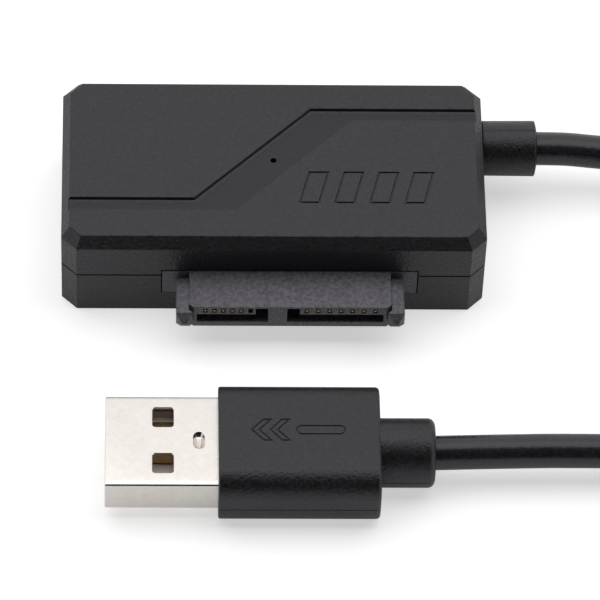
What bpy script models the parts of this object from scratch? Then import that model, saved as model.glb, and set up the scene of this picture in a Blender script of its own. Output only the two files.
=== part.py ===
"""A USB to slimline SATA adapter: a small two-part housing with a receptacle in its front
face, and a cable to a USB plug that lies in front of it.

Metres, +Z up. The origin is the middle of the housing's underside. +X runs along the
housing towards the cable's exit, and -Y points out of the receptacle's face."""

import math

import bmesh
import bpy
from mathutils import Matrix, Vector

# Fits
FIT_GAP = 0.0002
CABLE_GAP = 0.0001
CUT_OVERRUN = 0.001

# Housing, two moulded shells that meet at a level seam
HOUSING_LENGTH = 0.0472
HOUSING_DEPTH = 0.0237
HOUSING_HEIGHT = 0.0120
SEAM_HEIGHT = 0.0061
WALL = 0.0015
LID_THICKNESS = 0.0016
FLOOR_THICKNESS = 0.0012
CORNER_CHAMFER = 0.0017
LID_CHAMFER_WIDTH = 0.0009
LID_CHAMFER_DROP = 0.0011
LIP_THICKNESS = 0.0006
LIP_HEIGHT = 0.0008
LEAST_CORNER = 0.0001

# Groove across the lid, with the lamp's pinhole in the middle of its slanting stretch
GROOVE_DEPTH = 0.00055
GROOVE_WIDTH = 0.0017
GROOVE_LEFT_SETBACK = 0.0064
GROOVE_RIGHT_SETBACK = 0.0044
GROOVE_LEFT_BEND_X = -0.0089
GROOVE_RIGHT_BEND_X = 0.0042
GROOVE_SLANT_SHIFT = 0.0047
PINHOLE_DIAMETER = 0.0007

# Posts that hold the board, with pins from the lower shell in sockets of the upper
POST_DIAMETER = 0.0032
PIN_DIAMETER = 0.0013
PIN_ENGAGEMENT = 0.0030
POST_INSET = 0.0024

# SATA receptacle, measured from its middle and from the housing's front face
CONNECTOR_X = 0.0018
CONNECTOR_TOP = 0.0068
CONNECTOR_HEIGHT = 0.0034
CONNECTOR_WIDTH = 0.0253
CONNECTOR_REACH = 0.0050
CONNECTOR_INSERTION = 0.0055
ARM_WIDTH = 0.00147
ARM_STEP = 0.0003
ARM_CORNER = 0.0005
ARM_EDGE = 0.00012
ARM_LEAD = 0.00055
ARM_NECK = 0.0001
ARM_FLARE = 0.00035
ARM_RISE = 0.0004
ARM_TIP_LENGTH = 0.0013
ARM_TIP_WIDTH = 0.0005
ARM_TIP_HEIGHT = 0.0003
ARM_ROOT = 0.0004
ARM_GAP = 0.00008
ARM_FREE_LENGTH = 0.0006
ARM_END_STEP = 0.0001
NOTCH_WIDTH = 0.0006
NOTCH_DEPTH = 0.00045
BLOCK_LEAD = 0.00045
ARM_RELIEF_LENGTH = 0.0010
ARM_RELIEF_DEPTH = 0.00035
WING_REACH = 0.00155
WING_RISE = 0.00005
WING_HEIGHT = 0.0038
WING_DEPTH = 0.0018
PEG_DIAMETER = 0.0009
PEG_LENGTH = 0.0014
PEG_INSET = 0.00203
PEG_SETBACK = 0.0018

# Slots and contact channels in the receptacle's face
SLOT_FLOOR = 0.0008
SLOT_HEIGHT = 0.0013
SLOT_DEPTH = 0.0048
SLOT_SIDE_WALL = 0.00083
SLOT_TOP_WALL = 0.0003
POWER_SLOT_WIDTH = 0.0079
DIVIDER_WIDTH = 0.0021
KEY_WIDTH = 0.0014
CHANNEL_WIDTH = 0.00050
CHANNEL_HEIGHT = 0.00072
SPRING_LIP = 0.0006
OPENING_STEP = 0.00002
SPRING_LENGTH = 0.0036
SPRING_BOW = 0.00055
CONTACT_END_MARGIN = 0.00093
POWER_POSITIONS = 6
POWER_FITTED = 5
POWER_PITCH = 0.00100
SIGNAL_POSITIONS = 7
SIGNAL_PITCH = 0.00127
CONTACT_WIDTH = 0.00030
CONTACT_THICKNESS = 0.00016
CONTACT_SETBACK = 0.0003
CONTACT_TAIL = 0.0006
CONTACT_FOOT = 0.0010

# Circuit board and what is soldered on it, placed from the board's middle
BOARD_THICKNESS = 0.0010
BOARD_MARGIN = 0.0006
BOARD_RELIEF_CLEARANCE = 0.0026
SOLDER_GAP = 0.0001
BRIDGE_CHIP_SIZE = (0.0070, 0.0070, 0.0009)
BRIDGE_CHIP_PLACE = (-0.0068, 0.0022)
FLASH_CHIP_SIZE = (0.0049, 0.0039, 0.0015)
FLASH_CHIP_PLACE = (-0.0133, 0.0040)
REGULATOR_SIZE = (0.0065, 0.0035, 0.0016)
REGULATOR_PLACE = (0.0095, -0.0010)
CRYSTAL_SIZE = (0.0050, 0.0032, 0.0012)
CRYSTAL_PLACE = (-0.0068, 0.0076)
INDUCTOR_SIZE = (0.0040, 0.0040, 0.0018)
INDUCTOR_PLACE = (0.0062, 0.0052)
CAPACITOR_SIZE = (0.0020, 0.0012, 0.0012)
CAPACITOR_PLACES = ((-0.0009, -0.0020), (-0.0012, 0.0060), (0.0027, -0.0020), (-0.0133, -0.0002))
LAMP_SIZE = (0.0016, 0.0008, 0.0006)
LEG_WIDTH = 0.0004
LEG_REACH = 0.0010
LEG_THICKNESS = 0.0003
FLASH_LEGS = 4
FLASH_LEG_PITCH = 0.00127
REGULATOR_LEGS = 3
REGULATOR_LEG_PITCH = 0.0023
CHIP_EDGE = 0.0001

# Strain relief at the housing and the wires inside it
RELIEF_Y = 0.0066
RELIEF_DIAMETER = 0.0063
RELIEF_LENGTH = 0.0062
RELIEF_END_RADIUS = 0.0006
RELIEF_NECK_DIAMETER = 0.0050
RELIEF_FLANGE_DIAMETER = 0.0064
RELIEF_FLANGE_THICKNESS = 0.0012
WIRE_DIAMETER = 0.0005
WIRE_RING_RADIUS = 0.00135
WIRE_PITCH = 0.00100
WIRE_ROW_SHIFT = -0.0010
WIRE_LAP = 0.0010
WIRES = ("ground_wire", "power_wire", "data_minus_wire", "data_plus_wire",
         "transmit_minus_wire", "transmit_plus_wire", "receive_minus_wire", "receive_plus_wire")

# USB plug, measured from the middle of its open end; it lies on its moulded grip
PLUG_NOSE_X = -0.0186
PLUG_Y = -0.0346
SHELL_WIDTH = 0.0120
SHELL_HEIGHT = 0.0045
SHELL_SHEET = 0.0003
SHELL_EXPOSED = 0.0123
SHELL_EMBEDDED = 0.0040
SHELL_CORNER = 0.0005
WINDOW_LENGTH = 0.0023
WINDOW_WIDTH = 0.0026
WINDOW_SETBACK = 0.00515
WINDOW_SPREAD = 0.00308
DIMPLE_SETBACK = 0.0102
DIMPLE_LENGTH = 0.0013
DIMPLE_WIDTH = 0.0022
GRIP_LENGTH = 0.0176
GRIP_WIDTH = 0.0148
GRIP_HEIGHT = 0.0079
GRIP_CORNER = 0.0028
GRIP_EDGE = 0.0004
BOOT_DIAMETER = 0.0076
BOOT_LENGTH = 0.0060
BOOT_END_RADIUS = 0.0009
TONGUE_THICKNESS = 0.0018
TONGUE_SETBACK = 0.0005
PAD_WIDTH = 0.0010
PAD_LENGTH = 0.0066
PAD_SETBACK = 0.0010
PAD_THICKNESS = 0.00025
PAD_GAP = 0.0001
PAD_PLACES = (-0.0035, -0.0010, 0.0010, 0.0035)
PAD_NAMES = ("plug_power_contact", "plug_data_minus_contact", "plug_data_plus_contact", "plug_ground_contact")
SPRING_PLACES = (-0.0040, -0.0020, 0.0, 0.0020, 0.0040)
SPRING_NAMES = ("plug_receive_minus_contact", "plug_receive_plus_contact", "plug_drain_contact",
                "plug_transmit_minus_contact", "plug_transmit_plus_contact")
SPRING_CONTACT_WIDTH = 0.0006
SPRING_CONTACT_LENGTH = 0.0030
SPRING_CONTACT_RISE = 0.0007
SPRING_CONTACT_SETBACK = 0.0088

# Cable: a lead from the housing, a coil, and a lead to the plug
CABLE_DIAMETER = 0.0038
COIL_X = 0.0630
COIL_Y = -0.0112
COIL_INNER_RADIUS = 0.0152
COIL_OUTER_RADIUS = 0.0253
COIL_HEIGHT = 0.0077
COIL_EDGE = 0.0010
HOUSING_LEAD_ROUTE = ((0.0335, 0.00658, 0.00602), (0.0367, 0.00645, 0.00575),
                      (0.0400, 0.0063, 0.00555), (0.0436, 0.0062, 0.00550))
PLUG_LEAD_ROUTE = ((0.0250, -0.0346, 0.00395), (0.0320, -0.0346, 0.00392),
                   (0.0380, -0.0346, 0.00355), (0.0430, -0.0346, 0.00265), (0.0465, -0.0346, 0.00205),
                   (0.0493, -0.0346, 0.00192))
LEAD_STEPS = 3
TIE_WIDTH = 0.0035
TIE_THICKNESS = 0.0006
TIE_TAIL_DIAMETER = 0.0013
TIE_TAIL_LENGTH = 0.0065
TIE_TAIL_HEIGHT = 0.0040

ROUND_SEGMENTS = 24
COIL_SEGMENTS = 48
FINE_SEGMENTS = 12
CORNER_STEPS = 5

# Places that follow from the sizes
HOUSING_FRONT = -HOUSING_DEPTH / 2
HOUSING_RIGHT = HOUSING_LENGTH / 2
GROOVE_LEFT_Y = HOUSING_FRONT + GROOVE_LEFT_SETBACK
GROOVE_RIGHT_Y = HOUSING_DEPTH / 2 - GROOVE_RIGHT_SETBACK
PINHOLE_X = (GROOVE_LEFT_BEND_X + GROOVE_RIGHT_BEND_X + GROOVE_SLANT_SHIFT) / 2
PINHOLE_Y = (GROOVE_LEFT_Y + GROOVE_RIGHT_Y - GROOVE_WIDTH) / 2
CONNECTOR_BOTTOM = CONNECTOR_TOP - CONNECTOR_HEIGHT
CONNECTOR_FACE = HOUSING_FRONT - CONNECTOR_REACH
CONNECTOR_REAR = HOUSING_FRONT + CONNECTOR_INSERTION
BLOCK_HALF = CONNECTOR_WIDTH / 2 - ARM_WIDTH
WING_TOP = CONNECTOR_TOP + WING_RISE
WING_BOTTOM = WING_TOP - WING_HEIGHT
SLOT_BOTTOM = CONNECTOR_BOTTOM + SLOT_FLOOR
SLOT_TOP = SLOT_BOTTOM + SLOT_HEIGHT
CHANNEL_TOP = CONNECTOR_TOP - SLOT_TOP_WALL
CHANNEL_MIDDLE = CHANNEL_TOP - CHANNEL_HEIGHT / 2
POWER_LEFT = CONNECTOR_X - BLOCK_HALF + SLOT_SIDE_WALL
POWER_RIGHT = POWER_LEFT + POWER_SLOT_WIDTH
SIGNAL_LEFT = POWER_RIGHT + DIVIDER_WIDTH
SIGNAL_RIGHT = CONNECTOR_X + BLOCK_HALF - SLOT_SIDE_WALL
POWER_XS = [POWER_LEFT + CONTACT_END_MARGIN + i * POWER_PITCH for i in range(POWER_POSITIONS)]
SIGNAL_FIRST = SIGNAL_RIGHT - CONTACT_END_MARGIN - (SIGNAL_POSITIONS - 1) * SIGNAL_PITCH
SIGNAL_XS = [SIGNAL_FIRST + i * SIGNAL_PITCH for i in range(SIGNAL_POSITIONS)]
BOARD_TOP = CONNECTOR_BOTTOM - FIT_GAP
BOARD_BOTTOM = BOARD_TOP - BOARD_THICKNESS
RELIEF_INNER_END = HOUSING_RIGHT - WALL - FIT_GAP - RELIEF_FLANGE_THICKNESS
BOARD_LEFT = -HOUSING_RIGHT + WALL + BOARD_MARGIN
BOARD_RIGHT = RELIEF_INNER_END - BOARD_RELIEF_CLEARANCE
BOARD_FRONT = HOUSING_FRONT + WALL + BOARD_MARGIN
BOARD_BACK = HOUSING_DEPTH / 2 - WALL - BOARD_MARGIN
BOARD_X = (BOARD_LEFT + BOARD_RIGHT) / 2
BOARD_Y = (BOARD_FRONT + BOARD_BACK) / 2
POSTS = (
    (BOARD_LEFT + POST_INSET, CONNECTOR_REAR + POST_INSET),
    (BOARD_LEFT + POST_INSET, BOARD_BACK - POST_INSET),
    (BOARD_RIGHT - POST_INSET, CONNECTOR_REAR + POST_INSET),
)
PEGS = [(CONNECTOR_X + side * (BLOCK_HALF - PEG_INSET), CONNECTOR_REAR - PEG_SETBACK) for side in (-1, 1)]
PLUG_AXIS_Z = GRIP_HEIGHT / 2
RELIEF_END = HOUSING_RIGHT + FIT_GAP + RELIEF_LENGTH
BOOT_END = PLUG_NOSE_X + SHELL_EXPOSED + GRIP_LENGTH + BOOT_LENGTH
HOUSING_LEAD_START = (RELIEF_END + CABLE_GAP, RELIEF_Y, SEAM_HEIGHT)
PLUG_LEAD_START = (BOOT_END + CABLE_GAP, PLUG_Y, PLUG_AXIS_Z)


# Scene and materials
def clear_scene():
    for obj in list(bpy.data.objects):
        bpy.data.objects.remove(obj, do_unlink=True)


def new_collection(name):
    collection = bpy.data.collections.new(name)
    bpy.context.scene.collection.children.link(collection)
    return collection


clear_scene()
PARTS = new_collection("usb_sata_adapter")
CUTTERS = new_collection("cutters")
CUTTERS.hide_render = True


def material(name, colour, roughness, metallic=0.0):
    found = bpy.data.materials.get(name)
    if found:
        return found
    made = bpy.data.materials.new(name)
    made.use_nodes = True
    shader = made.node_tree.nodes["Principled BSDF"]
    shader.inputs["Base Color"].default_value = (*colour, 1.0)
    shader.inputs["Roughness"].default_value = roughness
    shader.inputs["Metallic"].default_value = metallic
    return made


def housing_plastic():
    return material("housing_plastic", (0.030, 0.030, 0.032), 0.55)


def connector_plastic():
    return material("connector_plastic", (0.075, 0.075, 0.082), 0.6)


def grip_plastic():
    return material("grip_plastic", (0.022, 0.022, 0.024), 0.5)


def gold():
    return material("gold_plating", (0.83, 0.60, 0.25), 0.25, 1.0)


def shell_metal():
    return material("nickel_plating", (0.80, 0.76, 0.71), 0.3, 1.0)


def board_resin():
    return material("board_resin", (0.02, 0.16, 0.07), 0.45)


def chip_resin():
    return material("chip_resin", (0.02, 0.02, 0.02), 0.6)


def tinned_metal():
    return material("tinned_metal", (0.66, 0.67, 0.68), 0.35, 1.0)


# Making solids
def add(name, mesh, finish=None, parent=None):
    """A mesh as a part with the finish, or as a cutter when there is none."""
    obj = bpy.data.objects.new(name, mesh)
    if finish:
        mesh.materials.append(finish)
        PARTS.objects.link(obj)
    else:
        CUTTERS.objects.link(obj)
        obj.hide_render = True
        obj.display_type = "WIRE"
    obj.parent = parent
    return obj


def mesh_from(bm, name):
    bmesh.ops.recalc_face_normals(bm, faces=bm.faces)
    mesh = bpy.data.meshes.new(name)
    bm.to_mesh(mesh)
    bm.free()
    return mesh


def boxes(name, corners, finish=None, parent=None):
    """One mesh of upright boxes, each given by its low and high corner."""
    bm = bmesh.new()
    for low, high in corners:
        low, high = Vector(low), Vector(high)
        size = Matrix.Diagonal((*(high - low), 1.0))
        bmesh.ops.create_cube(bm, size=1.0, matrix=Matrix.Translation((low + high) / 2) @ size)
    return add(name, mesh_from(bm, name), finish, parent)


def box_at(name, centre, size, finish=None, parent=None):
    centre, half = Vector(centre), Vector(size) / 2
    return boxes(name, [(centre - half, centre + half)], finish, parent)


def cylinder(name, start, end, diameter, finish=None, parent=None, segments=ROUND_SEGMENTS):
    """A round bar between two points."""
    start, end = Vector(start), Vector(end)
    turn = (end - start).to_track_quat("Z", "Y").to_matrix().to_4x4()
    bm = bmesh.new()
    bmesh.ops.create_cone(bm, cap_ends=True, segments=segments, radius1=diameter / 2,
                          radius2=diameter / 2, depth=(end - start).length,
                          matrix=Matrix.Translation((start + end) / 2) @ turn)
    return add(name, mesh_from(bm, name), finish, parent)


def mesh_of_curve(curve):
    """The curve's evaluated mesh, with its caps welded on. The curve is removed."""
    PARTS.objects.link(curve)
    bpy.context.view_layer.update()
    graph = bpy.context.evaluated_depsgraph_get()
    mesh = bpy.data.meshes.new_from_object(curve.evaluated_get(graph))
    bm = bmesh.new()
    bm.from_mesh(mesh)
    bmesh.ops.remove_doubles(bm, verts=bm.verts, dist=1e-7)
    bmesh.ops.recalc_face_normals(bm, faces=bm.faces)
    bm.to_mesh(mesh)
    bm.free()
    mesh.materials.clear()
    bpy.data.objects.remove(curve, do_unlink=True)
    return mesh


def plate(name, outline, low, high, finish=None, parent=None, facing="Z"):
    """A flat outline pulled from low to high along an axis. Facing Z, the outline gives x and y;
    facing Y, x and z; and facing X, y and z."""
    curve = bpy.data.curves.new(name, "CURVE")
    curve.dimensions = "2D"
    curve.fill_mode = "BOTH"
    curve.extrude = (high - low) / 2
    spline = curve.splines.new("POLY")
    spline.points.add(len(outline) - 1)
    for point, (across, along) in zip(spline.points, outline):
        point.co = (across, along, 0.0, 1.0)
    spline.use_cyclic_u = True
    mesh = mesh_of_curve(bpy.data.objects.new(name, curve))
    middle = (low + high) / 2
    turns = {
        "Z": Matrix.Translation((0, 0, middle)),
        "Y": Matrix.Translation((0, middle, 0)) @ Matrix.Rotation(math.pi / 2, 4, "X"),
        "X": Matrix.Translation((middle, 0, 0)) @ Matrix.Rotation(math.pi / 2, 4, "Z")
        @ Matrix.Rotation(math.pi / 2, 4, "X"),
    }
    mesh.transform(turns[facing])
    return add(name, mesh, finish, parent)


def turned(name, profile, place, along_x, finish=None, parent=None, segments=ROUND_SEGMENTS):
    """A profile of radius and height, from top to bottom, turned about its axis at a place."""
    mesh = bpy.data.meshes.new(name)
    edges = [(i, i + 1) for i in range(len(profile) - 1)]
    mesh.from_pydata([(radius, 0.0, height) for radius, height in profile], edges, [])
    obj = add(name, mesh, finish, parent)
    obj.location = place
    if along_x:
        obj.rotation_euler = (0.0, math.pi / 2, 0.0)
    screw = obj.modifiers.new("turn", "SCREW")
    screw.angle = 2 * math.pi
    screw.steps = segments
    screw.render_steps = segments
    screw.use_merge_vertices = True
    screw.merge_threshold = 0.00001
    return obj


def combine(target, other, operation):
    modifier = target.modifiers.new(f"{operation.lower()} {other.name}", "BOOLEAN")
    modifier.operation = operation
    modifier.object = other


def cut(target, *others):
    for other in others:
        combine(target, other, "DIFFERENCE")


def join(target, *others):
    for other in others:
        combine(target, other, "UNION")


def soften(obj, width, segments=1):
    bevel = obj.modifiers.new("soft edges", "BEVEL")
    bevel.width = width
    bevel.segments = segments
    bevel.limit_method = "ANGLE"
    bevel.use_clamp_overlap = True


def smooth(obj):
    obj.data.shade_smooth()
    obj.data.set_sharp_from_angle(angle=math.radians(35))


def tube(name, points, diameter, finish):
    curve = bpy.data.curves.new(name, "CURVE")
    curve.dimensions = "3D"
    curve.bevel_depth = diameter / 2
    curve.bevel_resolution = 2
    curve.use_fill_caps = True
    spline = curve.splines.new("POLY")
    spline.points.add(len(points) - 1)
    for control, point in zip(spline.points, points):
        control.co = (*point, 1.0)
    curve.materials.append(finish)
    obj = bpy.data.objects.new(name, curve)
    PARTS.objects.link(obj)
    return obj


# Outlines
def arc(centre, radius, first, last, steps):
    """Points of an arc, its angles in degrees."""
    angles = [math.radians(first + (last - first) * i / steps) for i in range(steps + 1)]
    return [(centre[0] + radius * math.cos(a), centre[1] + radius * math.sin(a)) for a in angles]


def rounded_rectangle(width, height, radius, centre=(0.0, 0.0), steps=CORNER_STEPS):
    radius = min(radius, 0.49 * width, 0.49 * height)
    across, up = width / 2 - radius, height / 2 - radius
    points = []
    for quarter, (x, y) in enumerate(((across, up), (-across, up), (-across, -up), (across, -up))):
        points += arc((centre[0] + x, centre[1] + y), radius, 90 * quarter, 90 * quarter + 90, steps)
    return points


def housing_outline(inset):
    """The housing's plan with its chamfered corners, moved inwards by the inset."""
    half_x, half_y = HOUSING_LENGTH / 2 - inset, HOUSING_DEPTH / 2 - inset
    corner = max(CORNER_CHAMFER - inset * (2 - math.sqrt(2)), LEAST_CORNER)
    return [
        (half_x - corner, -half_y), (half_x, corner - half_y), (half_x, half_y - corner),
        (half_x - corner, half_y), (corner - half_x, half_y), (-half_x, half_y - corner),
        (-half_x, corner - half_y), (corner - half_x, -half_y),
    ]


def strip_outline(path, thickness):
    """The closed outline of a bent strip that follows a path in its own plane."""
    left, right = [], []
    for i, (x, y) in enumerate(path):
        before = Vector(path[max(i - 1, 0)])
        after = Vector(path[min(i + 1, len(path) - 1)])
        here = Vector((x, y))
        ways = [(here - before).normalized() if i else (after - here).normalized()]
        ways.append((after - here).normalized() if i < len(path) - 1 else ways[0])
        mean = (ways[0] + ways[1]).normalized()
        side = Vector((-mean.y, mean.x)) * (thickness / 2 / max(mean.dot(ways[0]), 0.5))
        left.append(tuple(here + side))
        right.append(tuple(here - side))
    return left + right[::-1]


def smooth_route(points, steps):
    """Points along a smooth curve through the given ones, with equal steps between each two."""
    knots = [Vector(p) for p in points]
    knots = [2 * knots[0] - knots[1], *knots, 2 * knots[-1] - knots[-2]]
    route = []
    for p0, p1, p2, p3 in zip(knots, knots[1:], knots[2:], knots[3:]):
        for i in range(steps):
            t = i / steps
            route.append(0.5 * (2 * p1 + (p2 - p0) * t + (2 * p0 - 5 * p1 + 4 * p2 - p3) * t**2
                                + (3 * p1 - p0 - 3 * p2 + p3) * t**3))
    return [tuple(p) for p in route] + [tuple(points[-1])]


# Housing
def groove_outline():
    far_left, far_right = -HOUSING_RIGHT - CUT_OVERRUN, HOUSING_RIGHT + CUT_OVERRUN
    back_edge = [
        (far_left, GROOVE_LEFT_Y), (GROOVE_LEFT_BEND_X, GROOVE_LEFT_Y),
        (GROOVE_RIGHT_BEND_X, GROOVE_RIGHT_Y), (far_right, GROOVE_RIGHT_Y),
    ]
    front_edge = [
        (far_right, GROOVE_RIGHT_Y - GROOVE_WIDTH),
        (GROOVE_RIGHT_BEND_X + GROOVE_SLANT_SHIFT, GROOVE_RIGHT_Y - GROOVE_WIDTH),
        (GROOVE_LEFT_BEND_X + GROOVE_SLANT_SHIFT, GROOVE_LEFT_Y - GROOVE_WIDTH),
        (far_left, GROOVE_LEFT_Y - GROOVE_WIDTH),
    ]
    return (back_edge + front_edge)[::-1]


def connector_mouth(name):
    """The opening in the housing's front wall, around the receptacle's wings and body."""
    half = CONNECTOR_WIDTH / 2 + WING_REACH + FIT_GAP
    return boxes(name, [(
        (CONNECTOR_X - half, HOUSING_FRONT - CUT_OVERRUN, WING_BOTTOM - FIT_GAP),
        (CONNECTOR_X + half, HOUSING_FRONT + WALL + CUT_OVERRUN, WING_TOP + FIT_GAP),
    )])


def cable_hole(name):
    """The round hole for the strain relief's neck, half in each shell."""
    return cylinder(name, (HOUSING_RIGHT - WALL - CUT_OVERRUN, RELIEF_Y, SEAM_HEIGHT),
                    (HOUSING_RIGHT + CUT_OVERRUN, RELIEF_Y, SEAM_HEIGHT),
                    RELIEF_NECK_DIAMETER + 2 * FIT_GAP)


def build_upper_shell():
    bottom = SEAM_HEIGHT + FIT_GAP / 2
    bm = bmesh.new()
    corners = [bm.verts.new((x, y, bottom)) for x, y in housing_outline(0.0)]
    base = bm.faces.new(corners)
    pulled = bmesh.ops.extrude_face_region(bm, geom=[base])["geom"]
    raised = [item for item in pulled if isinstance(item, bmesh.types.BMVert)]
    for vert in raised:
        vert.co.z = HOUSING_HEIGHT - LID_CHAMFER_DROP
    bm.normal_update()
    lid = next(item for item in pulled if isinstance(item, bmesh.types.BMFace))
    if lid.normal.z < 0:
        lid.normal_flip()
    bmesh.ops.inset_region(bm, faces=[lid], thickness=LID_CHAMFER_WIDTH, depth=LID_CHAMFER_DROP)
    shell = add("upper_shell", mesh_from(bm, "upper_shell"), housing_plastic())
    cavity = plate("upper_cavity", housing_outline(WALL), bottom - CUT_OVERRUN, HOUSING_HEIGHT - LID_THICKNESS)
    rebate = plate("upper_rebate", housing_outline(WALL - LIP_THICKNESS - FIT_GAP),
                   bottom - CUT_OVERRUN, SEAM_HEIGHT + LIP_HEIGHT + FIT_GAP)
    groove = plate("lid_groove", groove_outline(), HOUSING_HEIGHT - GROOVE_DEPTH, HOUSING_HEIGHT + CUT_OVERRUN)
    pinhole = cylinder("lid_pinhole", (PINHOLE_X, PINHOLE_Y, HOUSING_HEIGHT - LID_THICKNESS - CUT_OVERRUN),
                       (PINHOLE_X, PINHOLE_Y, HOUSING_HEIGHT + CUT_OVERRUN), PINHOLE_DIAMETER,
                       segments=FINE_SEGMENTS)
    cut(shell, cavity, rebate, groove, pinhole)
    foot = BOARD_TOP + FIT_GAP
    for number, (x, y) in enumerate(POSTS):
        join(shell, cylinder(f"upper_post_{number}", (x, y, foot),
                             (x, y, HOUSING_HEIGHT - LID_THICKNESS / 2), POST_DIAMETER))
        cut(shell, cylinder(f"upper_socket_{number}", (x, y, foot - CUT_OVERRUN),
                            (x, y, foot + PIN_ENGAGEMENT), PIN_DIAMETER + 2 * FIT_GAP))
    cut(shell, connector_mouth("upper_mouth"), cable_hole("upper_cable_hole"))
    return shell


def build_lower_shell():
    top = SEAM_HEIGHT - FIT_GAP / 2
    shell = plate("lower_shell", housing_outline(0.0), 0.0, top, housing_plastic())
    join(shell, plate("lower_lip", housing_outline(WALL - LIP_THICKNESS), FLOOR_THICKNESS / 2,
                      SEAM_HEIGHT + LIP_HEIGHT))
    cut(shell, plate("lower_cavity", housing_outline(WALL), FLOOR_THICKNESS,
                     SEAM_HEIGHT + LIP_HEIGHT + CUT_OVERRUN))
    for number, (x, y) in enumerate(POSTS):
        join(shell, cylinder(f"lower_post_{number}", (x, y, FLOOR_THICKNESS / 2),
                             (x, y, BOARD_BOTTOM - FIT_GAP), POST_DIAMETER),
             cylinder(f"lower_pin_{number}", (x, y, FLOOR_THICKNESS),
                      (x, y, BOARD_TOP + PIN_ENGAGEMENT), PIN_DIAMETER, segments=FINE_SEGMENTS))
    cut(shell, connector_mouth("lower_mouth"), cable_hole("lower_cable_hole"))
    return shell


# SATA receptacle
def block_outline():
    """The receptacle block's front outline, with its two lower corners cut off beside the guide arms."""
    right = [
        (BLOCK_HALF - NOTCH_WIDTH / 2, CONNECTOR_BOTTOM), (BLOCK_HALF, CONNECTOR_BOTTOM + NOTCH_DEPTH),
        (BLOCK_HALF, CONNECTOR_TOP),
    ]
    left = [(-x, z) for x, z in right[::-1]]
    return [(CONNECTOR_X + x, z) for x, z in right + left]


def arm_section(inner, knee, low, high):
    """A guide arm's section, as the distance from the connector's middle and z."""
    outer = CONNECTOR_WIDTH / 2
    return [
        (inner, low + knee - inner), (knee, low), (outer - ARM_CORNER, low), (outer, low + ARM_CORNER),
        (outer, high - ARM_EDGE), (outer - ARM_EDGE, high), (inner, high),
    ]


def guide_arm(name, side):
    """One guide arm: rooted in the block, lower at its rear, with a flare and a tapered nose in front."""
    root, knee = BLOCK_HALF - ARM_ROOT, BLOCK_HALF + NOTCH_WIDTH / 4
    low, high = CONNECTOR_BOTTOM + ARM_STEP, CONNECTOR_TOP - ARM_STEP
    base = arm_section(BLOCK_HALF - ARM_FLARE, knee - ARM_FLARE / 2, low + ARM_RISE, high)
    middle = [(min(values) + max(values)) / 2 for values in zip(*base)]
    spans = [max(values) - min(values) for values in zip(*base)]
    shares = (ARM_TIP_WIDTH / spans[0], ARM_TIP_HEIGHT / spans[1])
    end = [tuple(m + (v - m) * share for v, m, share in zip(point, middle, shares)) for point in base]
    rings = (
        (CONNECTOR_REAR - ARM_END_STEP, arm_section(root, knee, low, high)),
        (CONNECTOR_FACE - ARM_NECK, arm_section(root, knee, low + ARM_RISE / 2, high)),
        (CONNECTOR_FACE - ARM_LEAD, base),
        (CONNECTOR_FACE - ARM_TIP_LENGTH, end),
    )
    bm = bmesh.new()
    loops = [[bm.verts.new((CONNECTOR_X + side * across, y, z)) for across, z in section]
             for y, section in rings]
    bm.faces.new(loops[0])
    bm.faces.new(loops[-1])
    for near, far in zip(loops, loops[1:]):
        for i in range(len(near)):
            bm.faces.new((near[i], near[i - 1], far[i - 1], far[i]))
    arm = add(name, mesh_from(bm, name))
    left, right = sorted((CONNECTOR_X + side * (root - CUT_OVERRUN),
                          CONNECTOR_X + side * (CONNECTOR_WIDTH / 2 + CUT_OVERRUN)))
    relief = ((left, HOUSING_FRONT - ARM_RELIEF_LENGTH, high - ARM_RELIEF_DEPTH),
              (right, CONNECTOR_REAR + CUT_OVERRUN, high + CUT_OVERRUN))
    free, slope = BLOCK_HALF + ARM_GAP, ARM_FLARE + ARM_GAP
    gap = [(root - CUT_OVERRUN, ARM_FREE_LENGTH), (free, ARM_FREE_LENGTH), (free, -ARM_NECK),
           (free - slope, -ARM_NECK - slope), (root - CUT_OVERRUN, -ARM_NECK - slope)]
    outline = [(CONNECTOR_X + side * x, CONNECTOR_FACE + y) for x, y in gap]
    cut(arm, boxes(f"{name}_relief", [relief]),
        plate(f"{name}_gap", outline, CONNECTOR_BOTTOM - CUT_OVERRUN, CONNECTOR_TOP + CUT_OVERRUN))
    return arm


def block_lead(name, side):
    """A cutter for the chamfer on the block's front corner beside one guide arm."""
    across = [(BLOCK_HALF - BLOCK_LEAD, -CUT_OVERRUN), (BLOCK_HALF + CUT_OVERRUN, -CUT_OVERRUN),
              (BLOCK_HALF + CUT_OVERRUN, BLOCK_LEAD + CUT_OVERRUN), (BLOCK_HALF - BLOCK_LEAD, 0.0)]
    outline = [(CONNECTOR_X + side * x, CONNECTOR_FACE + y) for x, y in across]
    return plate(name, outline, CONNECTOR_BOTTOM - CUT_OVERRUN, CONNECTOR_TOP + CUT_OVERRUN)


def slot_outlines():
    """The two L-shaped slots, each with its raised key at the end next to the divider."""
    power = [
        (POWER_LEFT, SLOT_BOTTOM), (POWER_RIGHT, SLOT_BOTTOM), (POWER_RIGHT, CHANNEL_TOP),
        (POWER_RIGHT - KEY_WIDTH, CHANNEL_TOP), (POWER_RIGHT - KEY_WIDTH, SLOT_TOP), (POWER_LEFT, SLOT_TOP),
    ]
    signal = [
        (SIGNAL_LEFT, SLOT_BOTTOM), (SIGNAL_RIGHT, SLOT_BOTTOM), (SIGNAL_RIGHT, SLOT_TOP),
        (SIGNAL_LEFT + KEY_WIDTH, SLOT_TOP), (SIGNAL_LEFT + KEY_WIDTH, CHANNEL_TOP), (SIGNAL_LEFT, CHANNEL_TOP),
    ]
    return power, signal


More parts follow.
